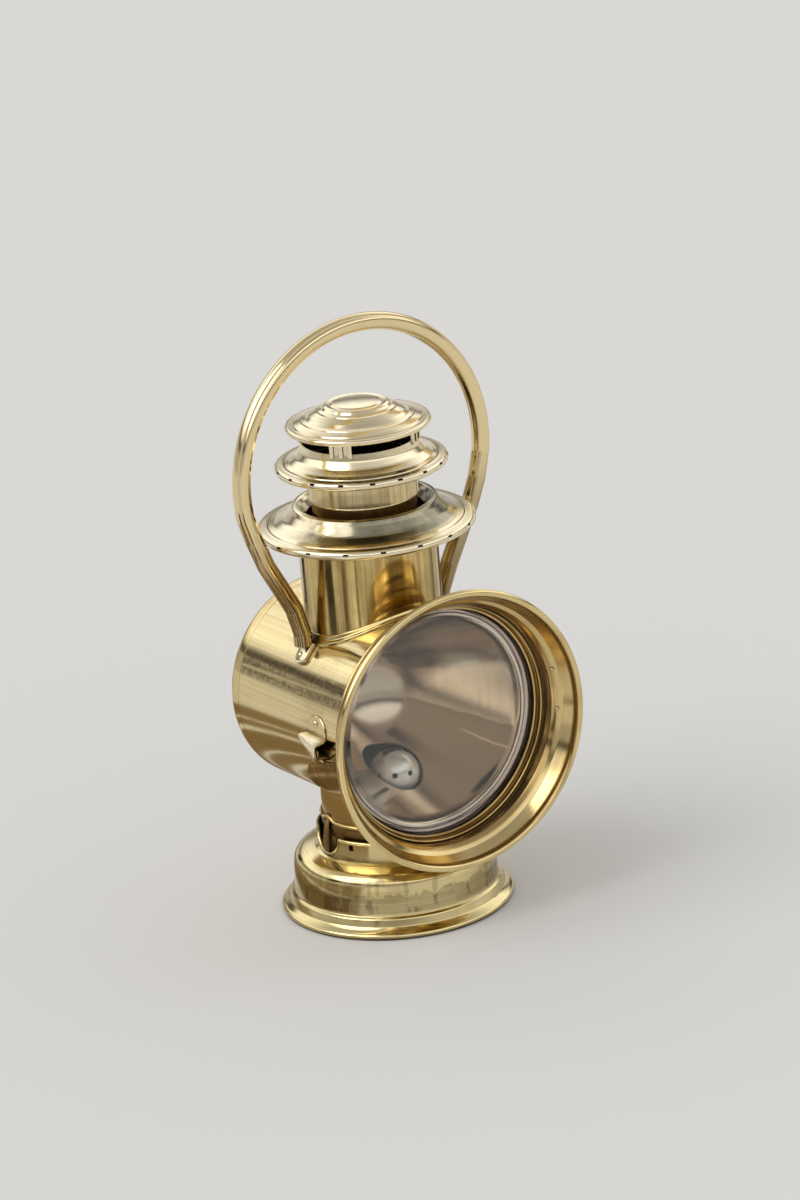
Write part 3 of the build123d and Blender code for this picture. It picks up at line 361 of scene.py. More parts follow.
# The chimney's and the collar's extra marks are painted upright reflection stripes.
chimney_brass = metal("chimney brass", (0.80, 0.60, 0.25, 1.0), (0.22, 0.14, 0.045, 1.0),
                      grain=UPRIGHT, tarnish=0.6, lined=0.36, extra=upright_reflection_stripes,
                      other=(0.14, 0.10, 0.04, 1.0), inside=CHIMNEY_INSIDE)
collar_brass = metal("collar brass", (0.88, 0.72, 0.40, 1.0), (0.26, 0.17, 0.06, 1.0), shine=0.12,
                     grain=UPRIGHT, tarnish=0.45, lined=0.4, extra=upright_reflection_stripes,
                     other=(0.20, 0.14, 0.06, 1.0))
bail_brass = metal("bail brass", (0.90, 0.74, 0.42, 1.0), (0.30, 0.18, 0.07, 1.0), shine=0.12,
                   grain=DOWN_THE_TUBE, about="bail", tarnish=0.35, patch=34.0, lined=0.22,
                   extra=dark_legs, other=(0.16, 0.095, 0.035, 1.0))
leaf_brass = metal("leaf brass", (0.66, 0.46, 0.19, 1.0), (0.15, 0.09, 0.035, 1.0), shine=0.12,
                   grain=DOWN_THE_TUBE, about="bail", tarnish=0.8, patch=60.0, lined=0.5)
pressed_brass = metal("pressed brass", (0.76, 0.58, 0.27, 1.0), BROWN, shine=0.16, grain=BOTH, tarnish=0.6)
aged_brass = metal("aged brass", (0.42, 0.27, 0.10, 1.0), (0.13, 0.07, 0.025, 1.0), shine=0.24,
                   grain=BOTH, tarnish=0.9)

# %% The white metals, and the door's brass
nickel = metal("nickel plate", (1.0, 0.96, 0.87, 1.0), (0.55, 0.46, 0.36, 1.0), shine=0.22,
               tarnish=0.25, purity=0.35, crease=0.0015)
# The dish's extra mark leaves painted bright reflections: a wedge and a thin line.
silver = metal("silvered dish", (1.0, 0.91, 0.76, 1.0), (0.46, 0.34, 0.22, 1.0), shine=0.15,
               about="drum", tarnish=0.10, waves=0.12, patch=24.0, crease=0.0012,
               extra=bright_reflection_wedge, other=(0.55, 0.45, 0.345, 1.0))
# The hood's extra mark has a line of painted shade near its rim.
hood_brass = metal("hood brass", (0.84, 0.67, 0.33, 1.0), BROWN, shine=0.11, about="drum", tarnish=0.45,
                   extra=hood_rings, other=(0.36, 0.21, 0.06, 1.0))
ring_brass = metal("ring brass", (0.80, 0.58, 0.25, 1.0), (0.24, 0.14, 0.05, 1.0), shine=0.12,
                   about="drum", tarnish=0.6, crease=0.005)

# %% [markdown]
# ## Glass and wick
# The door's glass is clear, thick and bevelled. A thin sheet could pass for it,
# with a shader that fakes the bending. A real pane with two faces bends light by
# itself, so the shader only needs its index, and a bevel that is ground a little
# grey. The wick is woven cotton, charred at its top: a weave of two crossed
# waves, and a dark end by height.

# %% Clear glass and cotton
GLASS_INDEX, BEVEL_FROM, BEVEL_FULL = 1.48, 0.0509, 0.0515
THREADS, CHAR_FROM, CHAR_FULL = 4200.0, 0.0785, 0.0825


def clear_glass():
    material, tree, shader = new_finish("bevelled glass")
    shader.inputs["Transmission Weight"].default_value = 1.0
    shader.inputs["IOR"].default_value = GLASS_INDEX
    place, _, _, reach = turned_place(tree, "drum")
    smear = noise(tree, place, 60.0, 3.0).fade(0.5, 0.75)
    ground = reach.fade(BEVEL_FROM, BEVEL_FULL)
    tree.links.new((smear * 0.03 + ground * 0.09).socket, shader.inputs["Roughness"])
    tint = blend_colours(smear, (0.97, 0.98, 0.97, 1.0), (0.93, 0.92, 0.88, 1.0))
    tint = blend_colours(ground, tint, (0.78, 0.74, 0.76, 1.0))
    tree.links.new(tint.socket, shader.inputs["Base Color"])
    return material


def cotton_wick():
    material, tree, shader = new_finish("cotton wick")
    place = Wire.node(tree, "ShaderNodeTexCoord", out="Object")
    x, y, z = parted(tree, place)
    weave = x.math("SINE", (x + z) * THREADS) * 0.5 + x.math("SINE", (x - z) * THREADS) * 0.5
    char = (z + noise(tree, place, 400.0) * 0.003).fade(CHAR_FROM, CHAR_FULL)
    cotton = blend_colours(weave.fade(-0.6, 0.6), (0.50, 0.42, 0.30, 1.0), (0.78, 0.72, 0.60, 1.0))
    cotton = blend_colours(char, cotton, (0.02, 0.018, 0.016, 1.0))
    tree.links.new(cotton.socket, shader.inputs["Base Color"])
    shader.inputs["Roughness"].default_value = 0.9
    bumped(tree, shader, weave, 0.6, 0.0002)
    return material


glass_finish, wick_finish = clear_glass(), cotton_wick()
print("finishes made:", len(bpy.data.materials))

# %% [markdown]
# ## Drawing a spun sheet
# A spinner presses a flat disc over a wooden form on a lathe, so each wall of the
# lamp is one line turned round an axis. Blender's Screw modifier could turn it,
# but a script that lays the rings itself can also bend a rim out of round, where
# a notch or a saddle needs it. A line is drawn first, and then given its wall.

# %% Lines, curls and walls, in millimetres
SHEET = 0.8
print("sheet:", SHEET, "mm thick")


def drawn(*points, steps=7):
    """Join (radius, along) points. A third number rounds that corner."""
    line = []
    for index, point in enumerate(points):
        here = Vector(point[:2])
        if len(point) < 3 or index in (0, len(points) - 1):
            line.append(here)
            continue
        before, after = Vector(points[index - 1][:2]) - here, Vector(points[index + 1][:2]) - here
        half = before.angle(after) / 2
        reach = min(point[2] / math.tan(half), 0.49 * before.length, 0.49 * after.length)
        radius = reach * math.tan(half)
        middle = here + (before.normalized() + after.normalized()).normalized() * (radius / math.sin(half))
        start, end = here + before.normalized() * reach - middle, here + after.normalized() * reach - middle
        sweep = start.angle_signed(end)
        for step in range(steps + 1):
            line.append(middle + Matrix.Rotation(-sweep * step / steps, 2) @ start)
    return line


def curl(radius, along, size, start, end, steps=22):
    """Part of a circle, from one angle to another in degrees: a rolled rim."""
    turns = [math.radians(start + (end - start) * step / steps) for step in range(steps + 1)]
    return [Vector((radius + size * math.cos(turn), along + size * math.sin(turn))) for turn in turns]


def walled(line, thick=SHEET):
    """The line, and back again one sheet to its left."""
    line = [here for index, here in enumerate(line) if index == 0 or (here - line[index - 1]).length > 1e-4]
    ways = [(after - here).normalized() for here, after in zip(line, line[1:])]
    back = []
    for here, way_in, way_out in zip(line, ways[:1] + ways, ways + ways[-1:]):
        way = (way_in + way_out).normalized()
        miter = max(way.dot(way_in), 0.5)
        back.append(here + Vector((-way.y, way.x)) * thick / miter)
    return line + back[::-1]


# %% [markdown]
# ## Turning it
# The points are laid round the fount's upright axis or round the drum's axis,
# which looks forwards. A point on the axis stays a single point, so no pole has a
# hole. The bend rule, where there is one, may move each point as it is laid.

# %% Rings to a mesh
MM = 0.001
AXIS = AXIS_Z / MM
print("the same axis:", round(AXIS, 1), "mm")


def rings(outlines, about="fount", steps=192, bend=None):
    """Points and faces of closed outlines turned round an axis."""
    points, faces = [], []
    for outline in outlines:
        loops = []
        for radius, along in outline:
            count = steps if radius > 1e-4 else 1
            loops.append(range(len(points), len(points) + count))
            for step in range(count):
                angle = 2 * math.pi * step / steps
                r, h = bend(angle, radius, along) if bend else (max(radius, 0.0), along)
                if about == "drum":
                    points.append((r * math.cos(angle), -h, AXIS + r * math.sin(angle)))
                else:
                    points.append((r * math.cos(angle), r * math.sin(angle), h))
        for low, high in zip(loops, loops[1:] + loops[:1]):
            for step in range(steps):
                following = (step + 1) % steps
                corners = [low[step % len(low)], low[following % len(low)],
                           high[following % len(high)], high[step % len(high)]]
                corners = tuple(dict.fromkeys(corners))
                if len(corners) > 2:
                    faces.append(corners)
    return points, faces


# %% [markdown]
# ## From a mesh to a piece
# Doubles are merged and the faces are pointed outwards before a piece gets its
# finish. Faces that nearly lie in one plane share their shading, and real corners
# stay sharp. Smooth shading alone would round the corners too, and flat shading
# would show every facet in the polish. Each piece then rides on its body and
# stands for the CAD nodes that it replaces.

# %% Closing, dressing and turning
SHARP = 34  # degrees between two faces, from which their edge stays sharp


def closed_object(name, points, faces):
    """A bare closed mesh with its faces pointing outwards, from millimetres."""
    mesh = bpy.data.meshes.new(name)
    mesh.from_pydata([Vector(point) * MM for point in points], [], faces)
    shape = bmesh.new()
    shape.from_mesh(mesh)
    bmesh.ops.remove_doubles(shape, verts=shape.verts, dist=1e-7)
    bmesh.ops.recalc_face_normals(shape, faces=shape.faces)
    shape.to_mesh(mesh)
    shape.free()
    made = bpy.data.objects.new(name, mesh)
    bpy.context.scene.collection.objects.link(made)
    return made


def dressed(made, finish, body, nodes=(), sharp=SHARP):
    """Give an object its finish, smooth shading, body and the nodes it stands for."""
    mesh = made.data
    mesh.materials.clear()
    mesh.materials.append(finish)
    mesh.shade_smooth()
    mesh.set_sharp_from_angle(angle=math.radians(sharp))
    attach(made, body)
    if nodes:
        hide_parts(*nodes)
    print(f"{made.name}: {len(mesh.polygons)} faces")
    return made


def finished(name, points, faces, finish, body, nodes=(), sharp=SHARP):
    """A brass piece from its points and faces."""
    return dressed(closed_object(name, points, faces), finish, body, nodes, sharp=sharp)


def spun(name, outlines, finish, body, nodes, about="fount", steps=192, bend=None, sharp=SHARP):
    """A piece of sheet, turned from its closed outlines."""
    points, faces = rings(outlines, about, steps, bend)
    return dressed(closed_object(name, points, faces), finish, body, nodes, sharp)


# %% [markdown]
# ## Cutting and joining
# Vents, slots and the split in a ring are cut with drills: closed meshes that a
# Boolean modifier takes away. The modifiers could stay on the pieces, but a lesson
# that keeps each result as a plain mesh can look at it straight away, and the
# drill can go.

# %% Keeping what a modifier makes
def kept(made):
    """Put what the modifiers make into the object's own plain mesh."""
    made.data = bpy.data.meshes.new_from_object(made.evaluated_get(bpy.context.evaluated_depsgraph_get()))
    made.modifiers.clear()
    return made


def combined(target, tool, operation="DIFFERENCE"):
    """Cut one closed object out of a piece, or join it on, for good."""
    step = target.modifiers.new("combine", "BOOLEAN")
    step.operation, step.solver, step.object = operation, "EXACT", tool
    kept(target)
    bpy.data.objects.remove(tool)
    target.data.set_sharp_from_angle(angle=math.radians(SHARP))


def drilled(target, *drills):
    """Cut holes with drills that are given as points and faces."""
    for points, faces in drills:
        combined(target, closed_object("drill", points, faces))


def block(low, high):
    """The points and faces of a box between two corners."""
    points = [(x, y, z) for x in (low[0], high[0]) for y in (low[1], high[1]) for z in (low[2], high[2])]
    return points, [(0, 1, 3, 2), (4, 6, 7, 5), (0, 4, 5, 1), (2, 3, 7, 6), (0, 2, 6, 4), (1, 5, 7, 3)]


# %% [markdown]
# ## Geometry Nodes for what repeats
# Posts, vent slots, burner holes and rivets are one small shape, set out again and
# again. Copies could be placed by hand, but a tree keeps the count, the spacing
# and the unevenness as named inputs that can be changed in one place. Each tree
# ends in real geometry, and its result is kept as a plain mesh.

# %% Opening and closing a tree
def new_tree(name, inputs):
    """A tree with named inputs, and the wire of each input."""
    tree = bpy.data.node_groups.new(name, "GeometryNodeTree")
    tree.interface.new_socket("Geometry", in_out="OUTPUT", socket_type="NodeSocketGeometry")
    for label, kind, value in (("Base", "Geometry", None), *inputs, ("Finish", "Material", None)):
        socket = tree.interface.new_socket(label, in_out="INPUT", socket_type="NodeSocket" + kind)
        if value is not None:
            socket.default_value = value
    entry = tree.nodes.new("NodeGroupInput")
    return tree, {socket.name: Wire(tree, socket) for socket in entry.outputs if socket.name}


def close_tree(tree, wires, shape):
    """End a tree in real geometry that carries its finish."""
    real = Wire.node(tree, "GeometryNodeRealizeInstances", {}, {"Geometry": shape})
    painted = Wire.node(tree, "GeometryNodeSetMaterial", {}, {"Geometry": real, "Material": wires["Finish"]})
    tree.links.new(painted.socket, tree.nodes.new("NodeGroupOutput").inputs[0])
    print("tree:", tree.name, "of", len(tree.nodes), "nodes")


def grown(name, tree, values, finish, base=None):
    """Run a tree once on a base mesh, and keep what it makes as a plain mesh."""
    made = bpy.data.objects.new(name, base or bpy.data.meshes.new(name))
    bpy.context.scene.collection.objects.link(made)
    grow = made.modifiers.new("grow", "NODES")
    grow.node_group = tree
    values = dict(values, Finish=finish)
    for item in tree.interface.items_tree:
        if item.item_type == "SOCKET" and item.in_out == "INPUT" and item.name in values:
            grow[item.identifier] = values[item.name]
    return kept(made)


# %% A ring of equal pieces
def ring_tree():
    """Set one piece round an upright axis, evenly or a little out of step."""
    tree, wires = new_tree("ring of pieces", (
        ("Piece", "Object", None), ("Count", "Int", 8), ("Start turn", "Float", 0.0),
        ("Unevenness", "Float", 0.0), ("Seed", "Int", 1), ("Centre", "Vector", None)))
    spots = Wire.node(tree, "GeometryNodePoints", {}, {"Count": wires["Count"], "Position": wires["Centre"]})
    index = Wire.node(tree, "GeometryNodeInputIndex")
    slip = Wire.node(tree, "FunctionNodeRandomValue", {"data_type": "FLOAT"},
                     {2: wires["Unevenness"] * -1.0, 3: wires["Unevenness"], 8: wires["Seed"]}, out=1)
    share = index.math("DIVIDE", index, wires["Count"])
    turn = share * (2 * math.pi) + wires["Start turn"] + slip
    turned = Wire.node(tree, "FunctionNodeEulerToRotation", {}, {0: joined(tree, z=turn)})
    piece = Wire.node(tree, "GeometryNodeObjectInfo", {}, {"Object": wires["Piece"]}, out=4)
    around = Wire.node(tree, "GeometryNodeInstanceOnPoints", {},
                       {"Points": spots, "Instance": piece, "Rotation": turned})
    close_tree(tree, wires, around)
    return tree


ring_of_pieces = ring_tree()


def ring_of(name, piece, count, start=0.0, uneven=0.0, seed=1, centre=(0, 0, 0), finish=None):
    """Run the ring tree with one piece, which then goes."""
    made = grown(name, ring_of_pieces, {
        "Piece": piece, "Count": count, "Start turn": math.radians(start),
        "Unevenness": math.radians(uneven), "Seed": seed, "Centre": Vector(centre) * MM}, finish)
    bpy.data.objects.remove(piece)
    print(name, "of", count)
    return made


# %% [markdown]
# ## A tree for tubes
# The bail and the latch's wire are round tubes along a bent path. A curve object
# with a bevel gives a plain tube. This tree starts from a line of points and
# sweeps a circle of its own, so one side of that circle can be pressed in, which
# makes the bail's folded seam.

# %% A tube along a path
def tube_tree():
    """Sweep a round tube along the base line, with a fine folded seam down one side."""
    tree, wires = new_tree("swept tube", (
        ("Tube radius", "Float", 0.004), ("Seam turn", "Float", 0.0), ("Seam width", "Float", 0.1),
        ("Seam depth", "Float", 0.0)))
    path = Wire.node(tree, "GeometryNodeMeshToCurve", {}, {"Mesh": wires["Base"]})
    circle = Wire.node(tree, "GeometryNodeCurvePrimitiveCircle", {},
                       {"Resolution": 56, "Radius": wires["Tube radius"]})
    place = Wire.node(tree, "GeometryNodeInputPosition")
    x, y, z = parted(tree, place)
    near = x.math("COSINE", x.math("ARCTAN2", y, x) - wires["Seam turn"])
    edge = x.math("COSINE", wires["Seam width"])
    groove = Wire.node(tree, "ShaderNodeMapRange", {}, {0: near, 1: edge, 2: 1.0})
    ratio = x.math("DIVIDE", wires["Seam depth"], wires["Tube radius"])
    moved = Wire.node(tree, "ShaderNodeVectorMath", {"operation": "SCALE"},
                      {0: place, "Scale": 1.0 - groove * ratio})
    profile = Wire.node(tree, "GeometryNodeSetPosition", {}, {"Geometry": circle, "Position": moved})
    tube = Wire.node(tree, "GeometryNodeCurveToMesh", {},
                     {"Curve": path, "Profile Curve": profile, "Fill Caps": True})
    close_tree(tree, wires, tube)
    return tree


swept_tube = tube_tree()


def line_mesh(name, points):
    """A mesh of one open line, for a tree to start from."""
    mesh = bpy.data.meshes.new(name)
    edges = [(index, index + 1) for index in range(len(points) - 1)]
    mesh.from_pydata([Vector(point) * MM for point in points], edges, [])
    return mesh


def tube_along(name, points, radius, finish, seam_turn=0.0, seam=0.0, depth=0.0):
    """A tube along the points, in millimetres."""
    return grown(name, swept_tube, {
        "Tube radius": radius * MM, "Seam turn": math.radians(seam_turn),
        "Seam width": max(seam / radius, 0.01), "Seam depth": depth * MM}, finish, line_mesh(name, points))


# %% [markdown]
# ## A tree for rivets
# A rivet shows as a low dome that stands square to its sheet. Each could be placed
# and turned by hand. Here every point carries its own way outwards as an
# attribute, and the tree sets a flattened ball on each.

# %% Rivet heads
def rivet_tree():
    """Set a domed head on every point, standing along the point's own way."""
    tree, wires = new_tree("rivet heads", (
        ("Head radius", "Float", 0.0012), ("Head height", "Float", 0.0008)))
    ball = Wire.node(tree, "GeometryNodeMeshUVSphere", {}, {"Segments": 24, "Rings": 14, "Radius": 1.0})
    size = joined(tree, wires["Head radius"], wires["Head radius"], wires["Head height"])
    head = Wire.node(tree, "GeometryNodeTransform", {}, {"Geometry": ball, "Scale": size})
    way = Wire.node(tree, "GeometryNodeInputNamedAttribute", {"data_type": "FLOAT_VECTOR"}, {"Name": "way"})
    stand = Wire.node(tree, "FunctionNodeAlignRotationToVector", {"axis": "Z"}, {"Vector": way})
    heads = Wire.node(tree, "GeometryNodeInstanceOnPoints", {},
                      {"Points": wires["Base"], "Instance": head, "Rotation": stand})
    close_tree(tree, wires, heads)
    return tree


rivet_heads = rivet_tree()


def rivets(name, places, radius, height, finish, body):
    """Rivets at (point, way) pairs, in millimetres."""
    mesh = line_mesh(name, [point for point, way in places])
    mesh.attributes.new("way", "FLOAT_VECTOR", "POINT").data.foreach_set(
        "vector", [number for point, way in places for number in Vector(way).normalized()])
    made = grown(name, rivet_heads, {"Head radius": radius * MM, "Head height": height * MM}, finish, mesh)
    return dressed(made, finish, body)


# %% [markdown]
# ## The fount
# The oil fount is a squat can with a flared foot, a rolled foot rim and a straight
# neck. Its neck has a round notch, where the spring catch of the lamp's body
# snaps in, with the rolled lip running down into it. A notch could be cut with a
# boolean, but that leaves a raw edge. A bend rule pushes the lip down there as
# the rings are laid, so the roll follows the notch.

# %% Where things sit round the fount
CATCH_TURN, AIR_HOLE_TURN = 97.8, 68.1  # degrees from the front, towards the latch's side
NOTCH_AT = math.radians(270 - CATCH_TURN)
NECK_R, NECK_END = 36.4, 39.0
LIP_Z, NOTCH_Z, SHOULDER_Z = 41.6, 32.2, 31.6
NOTCH_HALF, LIP_ROLL = 11.2, 0.8
print("notch in the neck:", 2 * NOTCH_HALF, "mm wide and", round(LIP_Z - NOTCH_Z, 1), "mm deep")


def round_fount(turn):
    """The ways outwards and sideways, so many degrees from the front."""
    at = math.radians(turn)
    return Vector((-math.sin(at), -math.cos(at), 0)), Vector((-math.cos(at), math.sin(at), 0))


def apart(angle, other):
    """The turn between two angles, at most half a turn either way."""
    return (angle - other + math.pi) % (2 * math.pi) - math.pi


def notch_bend(angle, radius, along):
    """Push the neck's lip down into a round notch."""
    if along < SHOULDER_Z or radius > NECK_END:
        return radius, along
    reach = NECK_R * abs(apart(angle, NOTCH_AT)) / NOTCH_HALF
    drop = (LIP_Z - NOTCH_Z) * math.sqrt(1 - reach ** 2) if reach < 1 else 0.0
    share = min((along - SHOULDER_Z) / (LIP_Z - LIP_ROLL - SHOULDER_Z), 1.0)
    return radius, along - drop * share


# %% Fount wall, foot and neck
fount_line = (curl(55.4, 1.6, 1.6, -215, 70) + drawn(
    (54.6, 3.6), (52.8, 5.4, 0.8), (51.8, 8.9, 1.2), (50.4, 9.9, 0.6), (50.2, 11.0), (49.7, 18.0),
    (48.8, 29.4, 6.0), (38.4, 30.6, 1.4), (NECK_R, 31.8), (NECK_R, 33.8), (NECK_R, 36.6),
    (NECK_R, 39.2), (NECK_R, 41.2)))
fount = spun("fount_can", [walled(fount_line), curl(36.3, LIP_Z, 0.85, 0, 345, 12)], fount_brass, "fount",
             ["fount_shell"], steps=320, bend=notch_bend)
air_out, air_side = round_fount(AIR_HOLE_TURN)
hole_points, hole_faces = block((33.5, -1.2, 37.4), (38.5, 1.2, 40.3))  # outwards, sideways, up
drilled(fount, ([air_out * x + air_side * y + Vector((0, 0, z)) for x, y, z in hole_points], hole_faces))

# %% [markdown]
# ## The body's neck
# A short tube joins the drum to the fount. Its lower rim is a rolled bead with a
# small arch over the catch, and its upper edge follows the round drum. It could
# be a longer tube that is trimmed by the drum, but a bend rule gives the same
# edge with no sliver of a face left over.

# %% Neck tube between drum and fount
DRUM_R = 51.5
NECK_FOOT, NECK_TOP = 49.5, 53.0
ARCH_HALF, ARCH_RISE = 7.5, 2.0


def neck_bend(angle, radius, along):
    """Lift the bead over the catch, and let the top follow the drum."""
    reach = NECK_R * abs(apart(angle, NOTCH_AT)) / ARCH_HALF
    rise = ARCH_RISE * (math.cos(math.pi * reach) + 1) / 2 if reach < 1 else 0.0
    top = AXIS - math.sqrt(DRUM_R ** 2 - (radius * math.cos(angle)) ** 2) + 0.4
    share = max(0.0, (along - NECK_FOOT) / (NECK_TOP - NECK_FOOT))
    low = along + rise * (1 - min(share, 1.0))
    return radius, low + (top - NECK_TOP) * share if share > 0 else low


neck_line = drawn((33.3, 47.6), (33.4, 49.0), (33.4, NECK_FOOT), (33.4, 51.0), (33.4, NECK_TOP))
spun("neck_tube", [walled(neck_line), curl(33.6, 48.2, 1.2, 0, 345, 20)], spun_brass, "lamp_body",
     ["body_neck"], steps=256, bend=neck_bend)

# %% [markdown]
# ## The drum
# The drum is a plain tube that lies on its side. It is open under the chimney and
# over the fount. Its rings are laid whole, and two upright drills then cut the
# openings, because a hole that runs round a tube follows no ring. The cap behind
# has a rounded edge and a fine seam where it slides over the tube.

# %% Drum tube and its cap
DRUM_BACK, DRUM_LONG, CAP_BACK = -47.4, 88.4, -56.5
FOUNT_HOLE_R, CHIMNEY_HOLE_R = 32.6, 32.8
drum_rows = [Vector((DRUM_R, DRUM_BACK + DRUM_LONG * step / 30)) for step in range(31)]
drum = spun("drum_tube", [walled(drum_rows)], drum_brass, "lamp_body", ["drum_shell"],
            about="drum", steps=256)


def upright_drill(radius, y, low, high, steps=128):
    """A round drill that stands upright, so far along the drum."""
    points, faces = rings([drawn((0, low), (radius, low), (radius, high), (0, high))], steps=steps)
    return [(px, py + y, pz) for px, py, pz in points], faces


drilled(drum, upright_drill(FOUNT_HOLE_R, 0, 30, AXIS), upright_drill(CHIMNEY_HOLE_R, 0, AXIS, 170))
cap_face = [Vector((r, CAP_BACK - 2.0 * math.cos(math.pi * r / 89.0))) for r in (0, 6, 12, 18, 24, 30, 36)]
cap_line = cap_face + drawn((37.0, -57.0), (38.2, -56.4, 0.6), (40.2, -56.6, 0.9), (DRUM_R, CAP_BACK, 6.8),
                            (DRUM_R, -47.75), (DRUM_R - 0.2, -47.55), steps=10)
spun("drum_back_cap", [walled(cap_line)], door_brass, "lamp_body", ["back_cap"], about="drum", steps=256)
ring_line = drawn((51.3, 39.0), (52.6, 39.0, 0.5), (53.7, 40.0, 0.8), (53.6, 41.0, 0.3), (53.0, 41.3, 0.2),
                  (53.6, 41.7, 0.3), (53.7, 43.6, 0.7), (51.3, 43.6))
spun("drum_front_bead", [ring_line], door_brass, "lamp_body", ["front_ring"], about="drum", steps=256)

# %% [markdown]
# ## The reflector
# The dish behind the flame is a deep round bowl that opens into a wide flare. A
# scaled sphere would come near it, but its reflections would give it away. It is
# turned from the same arcs as the solid, with a round hole under it for the burner
# and one above it for the smoke. Its rim laps over the end of the drum, and shows
# as a silver ring through the bevel of the glass.

# %% Silvered dish
BOWL_R, BOWL_BACK, BOWL_TURN, FLARE_STEPS = 28.69, 14.99, 52.0, 12
FLAME_Y, BURNER_HOLE_R, SMOKE_HOLE_R = -9, 12.0, 15.0
bowl_turns = [math.radians(BOWL_TURN * step / 26) for step in range(27)]
bowl = [Vector((BOWL_R * math.sin(turn), BOWL_R - BOWL_BACK - BOWL_R * math.cos(turn)))
        for turn in bowl_turns]
rim = Vector((49.8, 40.0))
lap = [Vector(spot) for spot in ((49.8, 41.6), (50.1, 43.2), (50.8, 44.0), (52.0, 44.2), (52.3, 43.8),
                                 (52.6, 44.2), (54.6, 44.4))]


def flare_from(start, heading):
    """An arc that leaves the bowl the way its edge points, and ends at the rim."""
    half = heading.angle_signed(rim - start)
    length = (rim - start).length / FLARE_STEPS
    flare = []
    for step in range(1, FLARE_STEPS + 1):
        turn = -2 * half * (step - 0.5) / FLARE_STEPS
        start = start + (Matrix.Rotation(turn, 2) @ heading) * length
        flare.append(start.copy())
    shift = rim - flare[-1]
    return [point + shift * (index + 1) / FLARE_STEPS for index, point in enumerate(flare)]


bowl_edge = math.radians(BOWL_TURN)
dish_line = bowl + flare_from(bowl[-1], Vector((math.cos(bowl_edge), math.sin(bowl_edge)))) + lap
dish = spun("silvered_dish", [walled(dish_line[::-1], 0.6)], silver, "lamp_body", ["reflector"],
            about="drum", steps=224)
drilled(dish, upright_drill(BURNER_HOLE_R, FLAME_Y, 40, AXIS - 10, 64),
        upright_drill(SMOKE_HOLE_R, FLAME_Y, AXIS + 10, 170, 64))

# %% [markdown]
# ## Door, hood and glass
# The door is a ring of rolled steps that carries the glass, with a flared hood in
# front. Lines pressed into brass could be drawn in a bump map, but every step
# catches its own thin line of light and bends the outline a little. So the steps
# are drawn one by one.

# %% Door ring and hood
HOOD_FOOT, HOOD_DEEP, HOOD_TILT = 50.0, 16.0, 3.2
door_line = drawn((54.9, 41.8), (54.9, 44.2, 0.3), (55.2, 44.6, 0.3), (57.0, 44.6, 0.6), (57.5, 45.4, 0.5),
                  (57.7, 47.6), (58.2, 50.8), (58.3, 51.8))
door_beads = [curl(57.4, 46.4, 0.9, 0, 345, 14), curl(57.8, 49.3, 0.6, 0, 345, 12),
              curl(58.0, 51.7, 0.6, 0, 345, 12)]
spun("door_ring", [walled(door_line)] + door_beads, ring_brass, "door", ["door_frame"],
     about="drum", steps=256)


def hood_bend(angle, radius, along):
    """The hood was knocked a little: its rim stands further out at the hinge side."""
    share = min(max((along - HOOD_FOOT) / HOOD_DEEP, 0.0), 1.0)
    return radius, along + HOOD_TILT * share * math.cos(angle)


hood_line = drawn((58.8, 51.0), (59.4, 51.2, 0.2), (59.9, 56.4, 0.8), (61.4, 58.2, 1.4), (63.4, 59.6, 2.4),
                  (66.6, 64.2, 5.0), (67.4, 66.0))
hood_beads = [curl(67.6, 66.4, 1.8, 0, 345, 26), curl(59.7, 54.6, 0.55, 0, 345, 12)]
spun("flared_hood", [walled(hood_line)] + hood_beads, hood_brass, "door", ["hood"],
     about="drum", steps=256, bend=hood_bend)

# %% [markdown]
# ## The pane and its split ring
# A springy ring holds the glass, and it is split so that it can be taken out. A
# flat disc with a glass shader would do for the middle of the pane, but its bevel
# bends light at the edge. So the pane is turned as a solid, slope and all. The
# ring is turned whole, and a small block cuts the split.

# %% Pane, split ring and hood rivets
RIVET_R, RIVET_TURNS = 60.7, (13.3, -6.1)
glass_line = drawn((0, 45.5), (56.0, 45.5, 0.3), (56.1, 46.9, 0.2), (51.2, 48.3, 0.3), (0, 48.3), steps=3)
spun("bevelled_pane", [glass_line], glass_finish, "door", ["glass"],
     about="drum", steps=192, sharp=20)
retainer_line = drawn((57.2, 47.4), (56.2, 47.5, 0.2), (55.6, 48.0, 0.3), (55.7, 49.1, 0.3),
                      (56.4, 49.3, 0.2), (57.2, 49.2, 0.2), (57.3, 48.8), (57.3, 47.5))
retainer = spun("retaining_ring", [retainer_line], ring_brass, "door", ["glass_ring"],
                about="drum", steps=224)
drilled(retainer, block((3.0, -53.0, AXIS + 52.0), (3.9, -47.0, AXIS + 58.5)))
hood_spots = []
for turn in [math.radians(turn) for turn in RIVET_TURNS]:
    hood_spots.append(((RIVET_R * math.cos(turn), -60.9, AXIS + RIVET_R * math.sin(turn)),
                       (-0.55 * math.cos(turn), -0.84, -0.55 * math.sin(turn))))
rivets("hood_rivets", hood_spots, 0.95, 0.7, door_brass, "door")

# %% [markdown]
# ## Chimney and saddle
# The chimney is a straight tube whose foot follows the drum, and the saddle is the
# narrow flange that is soldered there. A boolean with the drum could trim both.
# A bend rule that reads the drum's height at each point keeps their rows of faces
# even, so the polish shows no pinched reflections at the joint.

# %% Chimney tube and its flange
CHIMNEY_R = 33.6
CHIMNEY_LOW, CHIMNEY_HIGH = 158.0, 203.0


def drum_height(angle, radius, above=0.0):
    return AXIS + math.sqrt((DRUM_R + above) ** 2 - (radius * math.cos(angle)) ** 2)


def chimney_bend(angle, radius, along):
    """Let the foot of the tube follow the drum."""
    return radius, along if along > 0 else drum_height(angle, radius) - 0.4


